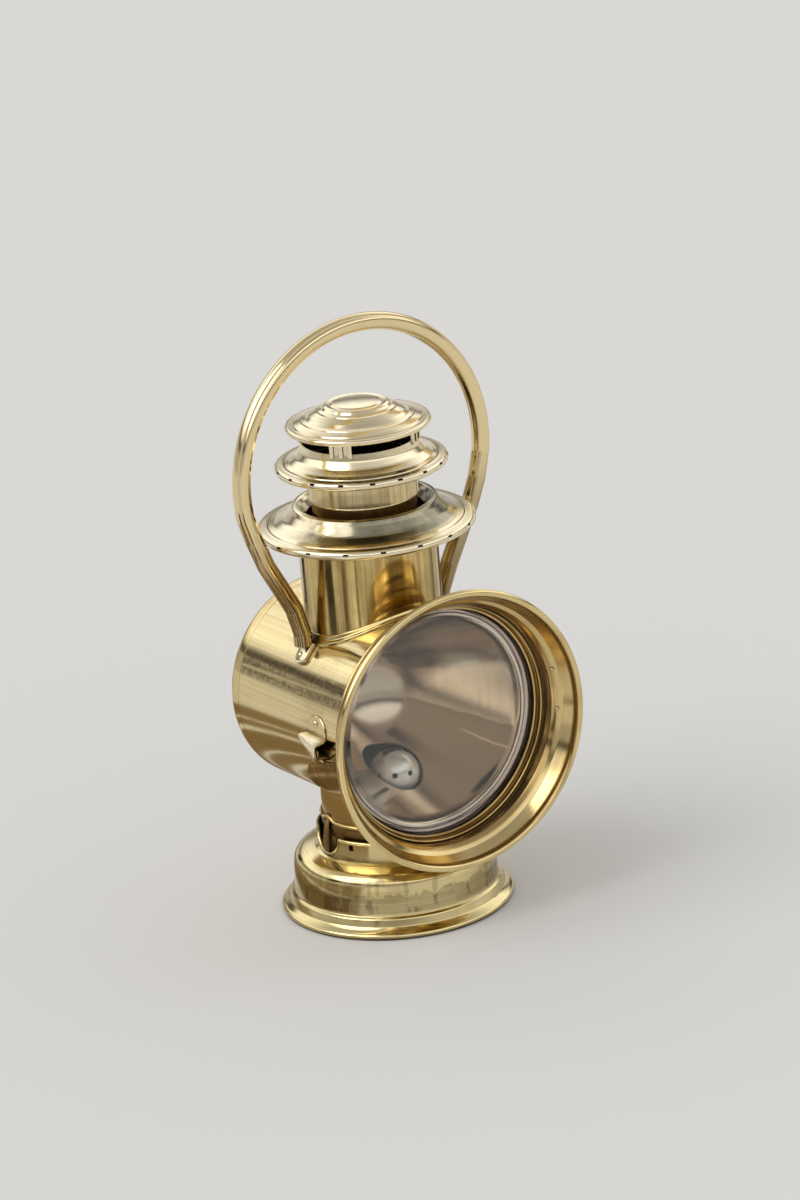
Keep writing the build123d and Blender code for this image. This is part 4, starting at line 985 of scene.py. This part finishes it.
chimney_rows = [Vector((CHIMNEY_R, 0.0))]
for step in range(15):
    chimney_rows.append(Vector((CHIMNEY_R, CHIMNEY_LOW + (CHIMNEY_HIGH - CHIMNEY_LOW) * step / 14)))
spun("chimney_tube", [walled(chimney_rows)], chimney_brass, "lamp_body", ["chimney"],
     steps=256, bend=chimney_bend)
saddle_line = drawn((33.4, -0.3), (35.9, -0.2), (35.9, 1.0, 0.4), (34.7, 1.2, 0.6), (34.1, 2.4, 0.5),
                    (33.4, 2.6))
spun("saddle_rim", [saddle_line], spun_brass, "lamp_body", ["saddle_flange"], steps=256,
     bend=lambda angle, radius, along: (radius, drum_height(angle, radius, along)))

# %% [markdown]
# ## The three caps
# The canopy, the middle cap and the top cap keep rain out and let smoke through.
# Each is one spun sheet that ends in a rolled rim. Cap, groove and rim could be
# three meshes that touch, but joints would show between them. So each is one line:
# round the curl first, then up over the shoulder. The flue runs up through them.

# %% Canopy and flue
canopy_line = (curl(50.6, 193.7, 2.1, -205, 80) + drawn(
    (49.2, 195.6), (47.6, 195.9), (47.3, 195.5), (46.9, 196.05), (44.2, 196.6, 3.0), (39.4, 199.2, 6.0),
    (36.2, 203.2, 3.0), (34.8, 205.4, 1.2), (32.4, 205.6, 1.4), (30.6, 203.6, 2.0), (28.4, 200.4), steps=9))
canopy = spun("canopy_cap", [walled(canopy_line, 0.7)], canopy_brass, "lamp_body", ["canopy"], steps=256)
flue_line = drawn((25.3, 170.0), (25.3, 186.0), (25.3, 198.0), (25.3, 207.0), (25.3, 218.0), (25.3, 226.0))
plate_line = drawn((25.0, 190.4), (32.6, 190.4), (32.6, 189.6), (25.0, 189.6))
spun("flue_pipe", [walled(flue_line), plate_line], aged_brass, "lamp_body", ["flue"])

# %% Collar, middle cap and top cap
collar_line = drawn((25.4, 207.5), (26.3, 207.5, 0.3), (26.3, 208.3, 0.2), (26.1, 208.6), (26.1, 222.4),
                    (25.4, 222.4))
spun("collar_band", [collar_line], collar_brass, "lamp_body", ["flue_collar"])
middle_line = (curl(39.9, 224.2, 1.9, -205, 85) + drawn(
    (39.4, 226.0), (37.4, 226.3), (37.0, 225.9), (36.6, 226.6), (34.6, 227.4, 2.0), (31.2, 229.8, 4.0),
    (29.0, 233.0, 3.0), (28.2, 236.4)))
middle_plate = drawn((25.3, 223.4), (39.0, 223.4), (39.0, 222.6), (25.3, 222.6))
middle_cap = spun("middle_cap_sheet", [walled(middle_line, 0.7), middle_plate], cap_brass, "lamp_body",
                  ["middle_cap"])
top_line = (curl(33.8, 243.8, 1.4, -205, 88) + drawn(
    (33.2, 245.2), (31.6, 245.1, 0.5), (30.9, 246.0, 0.5), (27.6, 247.1), (27.2, 246.8), (26.8, 247.4),
    (24.8, 247.9, 0.6), (23.0, 249.5, 0.7), (21.8, 250.1, 0.5), (19.4, 251.2), (19.0, 250.9), (18.6, 251.6),
    (17.0, 252.2, 0.6), (16.0, 253.4, 0.5), (14.8, 253.9, 0.6), (12.6, 253.6, 0.4), (11.4, 254.2, 0.4),
    (7.0, 254.6), (0, 254.8), steps=5))
spun("top_cap_sheet", [walled(top_line, 0.9)], cap_brass, "lamp_body", ["top_cap"])

# %% [markdown]
# ## Slots under the rims
# Small slots under two of the rolled rims let air through and keep rain out.
# Eighteen booleans a cap could cut them one by one. The ring tree sets eighteen
# blocks round the axis instead, each up to a degree out of step, as punching by
# hand leaves them, and one boolean cuts them all.

# %% Slots of the canopy and the middle cap
SLOTS, SLOT_HALF, SLOT_RISE = 18, 1.3, 0.45
rims = ((canopy, 52.4, 194.55, -136.1, 3), (middle_cap, 41.5, 225.2, -138.0, 5))
for cap, radius, height, start, seed in rims:
    slot = closed_object("slot", *block((radius - SLOT_HALF, -SLOT_HALF, height - SLOT_RISE),
                                        (radius + SLOT_HALF, SLOT_HALF, height + SLOT_RISE)))
    combined(cap, ring_of("rim_slots", slot, SLOTS, start=start, uneven=1.0, seed=seed))

# %% [markdown]
# ## Posts and burner dome
# Four pressed straps hold the top cap up, and the burner's dome is a small nickel
# ball with a row of draught holes and a slot for the wick. Straps and holes are
# each one shape set round an axis. An Array modifier with an empty could do it
# too. The ring tree does it with numbers that stand in the script.

# %% Posts under the top cap
strap = closed_object("strap", *block((27.5, -5.4, 234.8), (28.2, 5.4, 246.2)))
for side in (-4.6, 0.0, 4.6):
    rib = block((27.9, side - 0.9, 234.8), (28.9, side + 0.9, 246.1))
    combined(strap, closed_object("rib", *rib), "UNION")
posts = ring_of("cap_straps", strap, 4, start=-142.0, finish=cap_brass)
dressed(posts, cap_brass, "lamp_body", ["cap_posts"])

# %% Burner dome
BALL_R, BALL_Y, BALL_Z, HOLES_Z = 10.6, FLAME_Y, 69.5, 71.3
ball_line = [Vector((BALL_R * math.cos(turn), BALL_Z + BALL_R * math.sin(turn)))
             for turn in (math.radians(-44 + 134 * step / 40) for step in range(41))]
points, faces = rings([walled(ball_line, 0.7)], steps=96)
dome = closed_object("pierced_dome", [(x, y + BALL_Y, z) for x, y, z in points], faces)
pin, pin_faces = rings([drawn((0, 6), (1.25, 6), (1.25, 14), (0, 14))], steps=24)
hole = closed_object("hole", [(z, x, y + HOLES_Z) for x, y, z in pin], pin_faces)
combined(dome, ring_of("draught_holes", hole, 9, start=-126.8, centre=(0, BALL_Y, 0)))
drilled(dome, block((-5.0, BALL_Y - 1.4, 76), (5.0, BALL_Y + 1.4, 84)))
dressed(dome, nickel, "fount", ["burner_dome"])

# %% [markdown]
# ## The bail
# The bail is a bent tube with a folded seam, riveted to the drum by a flat tongue
# at each end. A curve with a round bevel would give the tube, but not the seam
# that runs down its side. So the tube tree sweeps a circle that has the seam
# pressed in. The real bail is bent a little to one side, and its path follows that.
# The tongues are lofted in four thin layers, which rounds their edges.

# %% Bail tube
LOOP_Z, LOOP_R, LOOP_Y, LOOP_SHIFT, TUBE_R = 222.3, 69.2, 2.2, 2.3, 4.4
SEAM_TURN, SEAM_WIDE, SEAM_DEEP = 132.6, 0.8, 0.6
left_half = drawn((-40.25, 141.4), (-40.3, 147.5, 12), (-43.9, 160.6, 14), (-57.2, 185.6), (-62.6, 200.0, 20),
                  (-65.9, 211.0), steps=10)
loop = [Vector((spot.x + LOOP_SHIFT, spot.y)) for spot in curl(0, LOOP_Z, LOOP_R, 189.0, -9.0, 130)]
right_half = drawn((70.4, 211.0), (67.6, 200.0, 20), (62.6, 188.2), (47.3, 160.3, 14), (41.2, 147.5, 12),
                   (40.25, 141.4), steps=10)
bail_path = [(x, LOOP_Y, z) for x, z in left_half + loop + right_half]
bail_tube = tube_along("bail_tube", bail_path, TUBE_R, bail_brass, SEAM_TURN, SEAM_WIDE, SEAM_DEEP)
dressed(bail_tube, bail_brass, "lamp_body", ["bail"], sharp=50)

# %% Bail tongues
TONGUE_R = 52.7
LUG_TURN = math.acos(35.6 / TONGUE_R) - math.radians(9.3)


def on_tongue(side, across, up, out):
    """A point on the flat tongue of one side: along the drum, up it, and out from it."""
    radial = Vector((math.cos(LUG_TURN), math.sin(LUG_TURN)))
    upward = Vector((-math.sin(LUG_TURN), math.cos(LUG_TURN)))
    spot = radial * (TONGUE_R + out) + upward * up
    return Vector((side * spot.x, LOOP_Y + across, AXIS + spot.y))


def tongue_outline(inset=0.0):
    """Half a circle below and straight edges above."""
    turns = [math.radians(180 + 180 * step / 20) for step in range(21)]
    round_end = [(0.3 + (4.3 - inset) * math.cos(turn), (4.3 - inset) * math.sin(turn)) for turn in turns]
    return round_end + [(4.6 - inset, 7.4 - inset), (-4.0 + inset, 7.4 - inset)]


def lofted(sections):
    """Points and faces of closed loops joined in a row, with both ends closed."""
    count = len(sections[0])
    points = [point for section in sections for point in section]
    faces = [tuple(range(count))[::-1], tuple(range(len(points) - count, len(points)))]
    for row in range(len(sections) - 1):
        for step in range(count):
            following = (step + 1) % count
            faces.append((row * count + step, row * count + following,
                          (row + 1) * count + following, (row + 1) * count + step))
    return points, faces


for side, label in ((-1, "left"), (1, "right")):
    layers = [[on_tongue(side, u, w, out) for u, w in tongue_outline(inset)]
              for out, inset in ((-1.9, 0.0), (0.2, 0.0), (0.45, 0.15), (0.6, 0.5))]
    points, faces = lofted(layers)
    finished(f"bail_tongue_{label}", points, faces, cap_brass, "lamp_body", ["bail_pads"], sharp=40)
    edge = tongue_outline(0.55)
    rolled = [on_tongue(side, u, w, 0.5) for u, w in [edge[-1]] + edge[:15]]
    dressed(tube_along(f"tongue_roll_{label}", rolled, 0.6, cap_brass), cap_brass, "lamp_body")
tongue_spots = [(on_tongue(side, 1.2, 0.1, 0.5), on_tongue(side, 0, 0, 9) - on_tongue(side, 0, 0, 0))
                for side in (-1, 1)]
rivets("tongue_rivets", tongue_spots, 1.35, 1.0, cap_brass, "lamp_body")

# %% [markdown]
# ## The latch
# A folded sheet keeper is riveted to the drum by a round ear, and the door's bent
# tongue snaps under it, with a wire hasp beside it. The fold could be modelled by
# hand, face by face. Here it is a row of outlines joined into one closed sheet,
# which needs only its two end outlines.

# %% Keeper and its fold
def softened(made, width):
    """Round the sharp edges and keep the result as a plain mesh."""
    soft = made.modifiers.new("soft edges", "BEVEL")
    soft.width, soft.segments, soft.limit_method = width * MM, 2, "ANGLE"
    soft.angle_limit = math.radians(28)
    kept(made)
    made.data.shade_smooth()
    made.data.set_sharp_from_angle(angle=math.radians(SHARP))


FOLD_BACK_Y, FOLD_LONG = -11.3, 16.6
fold_front = [(-50.6, 104.9), (-58.5, 101.6), (-59.5, 94.2), (-50.0, 93.0), (-50.0, 94.2), (-58.3, 95.3),
              (-57.5, 100.8), (-50.6, 103.7)]
fold_back = [(-51.0, 104.6), (-56.2, 103.9), (-56.7, 102.6), (-51.0, 101.9), (-51.0, 102.3), (-56.2, 102.9),
             (-55.8, 103.4), (-51.0, 104.1)]
sections = []
for share in (0.0, 0.25, 0.5, 0.75, 1.0):
    y = FOLD_BACK_Y - FOLD_LONG * share
    sections.append([(a[0] + (b[0] - a[0]) * share, y, a[1] + (b[1] - a[1]) * share)
                     for a, b in zip(fold_back, fold_front)])
points, faces = lofted(sections)
keeper = finished("latch_fold", points, faces, cap_brass, "lamp_body", ["latch_keeper"])
softened(keeper, 0.3)

# %% Ear, rivet and wire hasp
EAR_Y, EAR_Z, EAR_STEPS = -20.8, 106.5, 48


def on_drum(y, z, above):
    """A point so far above the drum's left side."""
    return (-math.sqrt((DRUM_R + above) ** 2 - (z - AXIS) ** 2), y, z)


ear_rings = [(0.0, -0.4), (7.3, -0.4), (7.3, 0.5), (7.0, 0.8), (6.0, 0.85), (3.0, 0.85), (0.0, 0.85)]
points = [on_drum(EAR_Y + r * math.cos(2 * math.pi * i / EAR_STEPS),
                  EAR_Z + r * math.sin(2 * math.pi * i / EAR_STEPS), above)
          for r, above in ear_rings for i in range(EAR_STEPS)]
faces = []
for row in range(0, (len(ear_rings) - 1) * EAR_STEPS, EAR_STEPS):
    for i in range(EAR_STEPS):
        following = (i + 1) % EAR_STEPS
        faces.append((row + i, row + following, row + EAR_STEPS + following, row + EAR_STEPS + i))
finished("latch_ear", points, faces, drum_brass, "lamp_body")
rivets("latch_rivet", [(on_drum(-20.5, 110.2, 0.9), (-1, 0, 0.13))], 1.5, 1.0, cap_brass, "lamp_body")
hasp = [(-57.2, -33.5, 95.4), (-56.6, -29.0, 95.2), (-56.4, -27.0, 95.6), (-56.4, -26.4, 98.8)]
dressed(tube_along("latch_hasp", hasp, 0.55, cap_brass), cap_brass, "door")

# %% [markdown]
# ## The spring catch
# A narrow leaf of brass hangs from the lamp's neck and springs into the fount's
# notch. It widens downwards and ends in a rounded tip. A flat plane with a
# Solidify modifier would do for a plain leaf, but this one bows outwards and has
# soft edges. So it is lofted too, from eight outlines, one above the other.

# %% Spring catch in the notch
LEAF_ROWS = ((51.5, 33.7, 1.7), (48.0, 34.6, 1.9), (45.0, 35.3, 2.3), (40.0, 35.9, 2.9), (35.5, 36.3, 3.3),
             (33.0, 36.3, 3.0), (31.4, 36.2, 2.2), (30.8, 36.1, 1.0))  # height, reach, half the width
catch_out, catch_side = round_fount(CATCH_TURN)
strip = []
for height, radius, half in LEAF_ROWS:
    outline = ((radius - 0.3, -half), (radius + 0.15, -half), (radius + 0.5, -half * 0.5),
               (radius + 0.5, half * 0.5), (radius + 0.15, half), (radius - 0.3, half))
    strip.append([catch_out * r + catch_side * a + Vector((0, 0, height)) for r, a in outline])
points, faces = lofted(strip)
finished("spring_strip", points, faces, aged_brass, "lamp_body", ["fount_catch"], sharp=50)

# %% [markdown]
# ## Pieces that keep the solid's shape
# Hinge, bracket, screw, latch leaf, wick and the burner's tube have plain shapes.
# Their solids are right, but their edges are knife sharp, and no real edge is.
# They could be modelled again. It is less work, and truer, to copy each mesh,
# merge its loose triangles and round its edges, which gives them a line of light.
# The latch leaf is also lifted a little, to where the keeper holds it.

# %% Round the edges of a copy
LEAF_LIFT = 2.6


def rounded_copy(node, finish, body, width=0.3, lift=0.0):
    """A copy of a node's mesh with softened edges, lifted by so many millimetres."""
    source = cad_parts[node]
    mesh = source.data.copy()
    shape = bmesh.new()
    shape.from_mesh(mesh)
    bmesh.ops.remove_doubles(shape, verts=shape.verts, dist=1e-6)
    bmesh.ops.dissolve_limit(shape, angle_limit=math.radians(1.0), verts=shape.verts, edges=shape.edges)
    bmesh.ops.translate(shape, verts=shape.verts, vec=(0, 0, lift * MM))
    shape.to_mesh(mesh)
    shape.free()
    made = bpy.data.objects.new(node + "_soft", mesh)
    bpy.context.scene.collection.objects.link(made)
    softened(made, width)
    return dressed(made, finish, body, [node])


for node, finish, body, width, slot in (
        ("hinge_drum_leaf", pressed_brass, "lamp_body", 0.25, "brass"),
        ("hinge_pin", pressed_brass, "lamp_body", 0.3, "brass"),
        ("socket_bracket", pressed_brass, "lamp_body", 0.4, "brass"),
        ("clamp_screw", pressed_brass, "lamp_body", 0.3, "brass"),
        ("hinge_door_leaf", pressed_brass, "door", 0.25, "brass"),
        ("latch_leaf", leaf_brass, "door", 0.25, "brass"),
        ("fount_floor", aged_brass, "fount", 0.2, "brass"),
        ("burner_gallery", aged_brass, "fount", 0.2, "brass"),
        ("burner_body", aged_brass, "fount", 0.2, "brass"),
        ("wick", wick_finish, "fount", 0.2, "wick")):
    rounded_copy(node, finish, body, width, LEAF_LIFT if node == "latch_leaf" else 0.0)

# %% [markdown]
# ## The studio
# Polished metal shows its surroundings more than its own colour. An image of a
# real place could surround the lamp, but then the brass would show that place.
# The lamp stands on a pale floor that rises to a low pale wall, under a plain sky.
# Floor and wall have no shine of their own, so they mirror nothing that stands
# near the lamp.

# %% Floor and low wall
def plain(name, colour):
    """A matt colour with no shine."""
    material, _, shader = new_finish(name)
    shader.inputs["Base Color"].default_value = colour
    shader.inputs["Roughness"].default_value = 0.6
    shader.inputs["Specular IOR Level"].default_value = 0.0
    return material


def staged(name, points, faces, finish):
    """A piece of the studio, which isn't part of the lamp."""
    mesh = bpy.data.meshes.new(name)
    mesh.from_pydata([Vector(point) * MM for point in points], [], faces)
    mesh.materials.append(finish)
    made = bpy.data.objects.new(name, mesh)
    bpy.context.scene.collection.objects.link(made)
    mesh.shade_smooth()
    print("stage:", name)
    return made


FLOOR_R, WALL_HIGH, COVE_R, SLAB = 7000, 1500, 900, 40
floor_line = drawn((0, 0), (FLOOR_R - 100, 0, COVE_R), (FLOOR_R, WALL_HIGH), (FLOOR_R + SLAB, WALL_HIGH),
                   (FLOOR_R + SLAB, -SLAB), (0, -SLAB))
floor_points, floor_faces = rings([floor_line], steps=96)
staged("floor and wall", floor_points, floor_faces, plain("pale floor", (0.72, 0.71, 0.69, 1.0)))

# %% [markdown]
# ## Cards for the metal to mirror
# A photographer stands dark cards round polished metal, to draw dark stripes on
# its upright walls. Lights behind shutters could do the same, but would also light
# the floor. Here thin dark cards stand in a ring, brown striped arcs lie on the
# floor to the lamp's left and behind, and a white card lies in front, where the
# silver dish looks. The camera doesn't see the cards, and they cast no shadow and
# no soft light, so they show only in what mirrors them.

# %% Standing cards
DARK, DIM = (0.035, 0.022, 0.014, 1.0), (0.16, 0.10, 0.05, 1.0)
CARD_AWAY, CARD_LOW, CARD_HIGH = 270, 48, 118


def mirrored_only(made):
    """Show a card in what mirrors it, and nowhere else."""
    for ray in ("camera", "diffuse", "shadow"):
        setattr(made, f"visible_{ray}", False)


def card(turn, wide, colour):
    """A card on end, so many degrees round the lamp."""
    middle = math.radians(turn)
    side = Vector((-math.sin(middle), math.cos(middle), 0)) * wide / 2
    foot = Vector((math.cos(middle), math.sin(middle), 0)) * CARD_AWAY
    ends = (foot - side, foot + side)
    points = [(*end.xy, height) for height in (CARD_LOW, CARD_HIGH) for end in ends]
    mirrored_only(staged(f"card at {turn}", points, [(0, 1, 3, 2)], plain(f"card colour {turn}", colour)))


for turn, wide, colour in ((168, 70, DARK), (-166, 34, DIM), (-146, 18, DARK), (100, 60, DARK),
                           (60, 26, DIM), (28, 60, DARK), (-6, 24, DARK), (-40, 12, DIM)):
    card(turn, wide, colour)

# %% Cards that lie on the floor
def lying_card(name, bands, first, sweep, steps, height, colour):
    """Arcs round the lamp, each from one reach to another, over so many degrees."""
    turns = [math.radians(first + sweep * step / steps) for step in range(steps + 1)]
    points = [(reach * math.cos(turn), reach * math.sin(turn), height)
              for band in bands for reach in band for turn in turns]
    row = steps + 1
    faces = [(start + i, start + i + 1, start + i + row + 1, start + i + row)
             for start in range(0, 2 * row * len(bands), 2 * row) for i in range(steps)]
    mirrored_only(staged(name, points, faces, plain(name + " colour", colour)))


lying_card("card on the floor", ((76, 112), (120, 141), (146, 196), (212, 240), (250, 330)),
           60, 142, 24, 1.0, (0.25, 0.18, 0.095, 1.0))
lying_card("white card on the floor", ((190, 520),), 206, 22, 8, 1.5, (0.98, 0.97, 0.94, 1.0))

# %% [markdown]
# ## Light and camera
# The sky is a gradient by height, at a level where a colour looks as it is
# written: a dim band low down, bright above it, softer overhead. Area lamps would
# leave their own outlines in the brass, so there is only one wide soft sun, which
# gives the shadow its way. The camera stands where the photographer stood, a
# little above the lamp and to its left.

# %% Sky
def grey(level, warm=1.0):
    """A grey of so much light, a little warmer as warm goes below 1."""
    return (level, level * (0.5 + 0.5 * warm), level * warm, 1.0)


SKY_STOPS = [(0.0, grey(0.30, 0.9)), (0.20, grey(0.25, 0.85)), (0.215, grey(0.08, 0.8)),
             (0.275, grey(0.10, 0.8)), (0.32, grey(0.85)), (0.42, grey(1.35)), (0.62, grey(1.10)),
             (0.80, grey(0.55)), (1.0, grey(0.40))]
world = bpy.data.worlds.new("studio sky")
world.use_nodes = True
bpy.context.scene.world = world
sky = world.node_tree
height = parted(sky, Wire.node(sky, "ShaderNodeTexCoord", out="Generated"))[2]
shades = Wire.node(sky, "ShaderNodeValToRGB", {"stops": SKY_STOPS}, {"Fac": height})
background = sky.nodes["Background"]
sky.links.new(shades.socket, background.inputs["Color"])
background.inputs["Strength"].default_value = 1.0
print("sky stops:", len(SKY_STOPS))

# %% Sun
SUN_WAY, SUN_WIDE, SUN_STRENGTH = (-1.25, 0.15, 1.4), 44, 0.9
sun = bpy.data.lights.new("soft sun", "SUN")
sun.angle, sun.energy = math.radians(SUN_WIDE), SUN_STRENGTH
soft_sun = bpy.data.objects.new("soft sun", sun)
soft_sun.matrix_world = Vector(SUN_WAY).to_track_quat("Z", "Y").to_matrix().to_4x4()
bpy.context.scene.collection.objects.link(soft_sun)
print("lamps:", len(bpy.data.lights))

# %% Camera
TURN, RISE, ROLL = math.radians(-33.472), math.radians(18.897), math.radians(4.804)
DISTANCE, PIXELS_PER_MM, SHIFT = 2479.34, 2.078235, (-26.906, 5.401)
AIM, SENSOR, PHOTO_HIGH = Vector((0, 0, 155.6)), 36.0, 1200.0
back = Vector((math.sin(TURN) * math.cos(RISE), -math.cos(TURN) * math.cos(RISE), math.sin(RISE)))
right = Vector((math.cos(TURN), math.sin(TURN), 0))
up = back.cross(right)
spot = AIM + back * DISTANCE - (right * SHIFT[0] + up * SHIFT[1]) / PIXELS_PER_MM
turned = Matrix((right * math.cos(ROLL) - up * math.sin(ROLL),
                 right * math.sin(ROLL) + up * math.cos(ROLL), back))
lens = bpy.data.cameras.new("camera")
lens.sensor_fit, lens.sensor_height = "VERTICAL", SENSOR
lens.lens = PIXELS_PER_MM * DISTANCE * SENSOR / PHOTO_HIGH
lens.clip_end = 100.0
camera = bpy.data.objects.new("camera", lens)
camera.matrix_world = Matrix.Translation(spot * MM) @ turned.transposed().to_4x4()
bpy.context.scene.collection.objects.link(camera)
bpy.context.scene.camera = camera
bpy.context.scene.view_settings.view_transform = "Standard"
print("lens", round(lens.lens, 1), "mm")
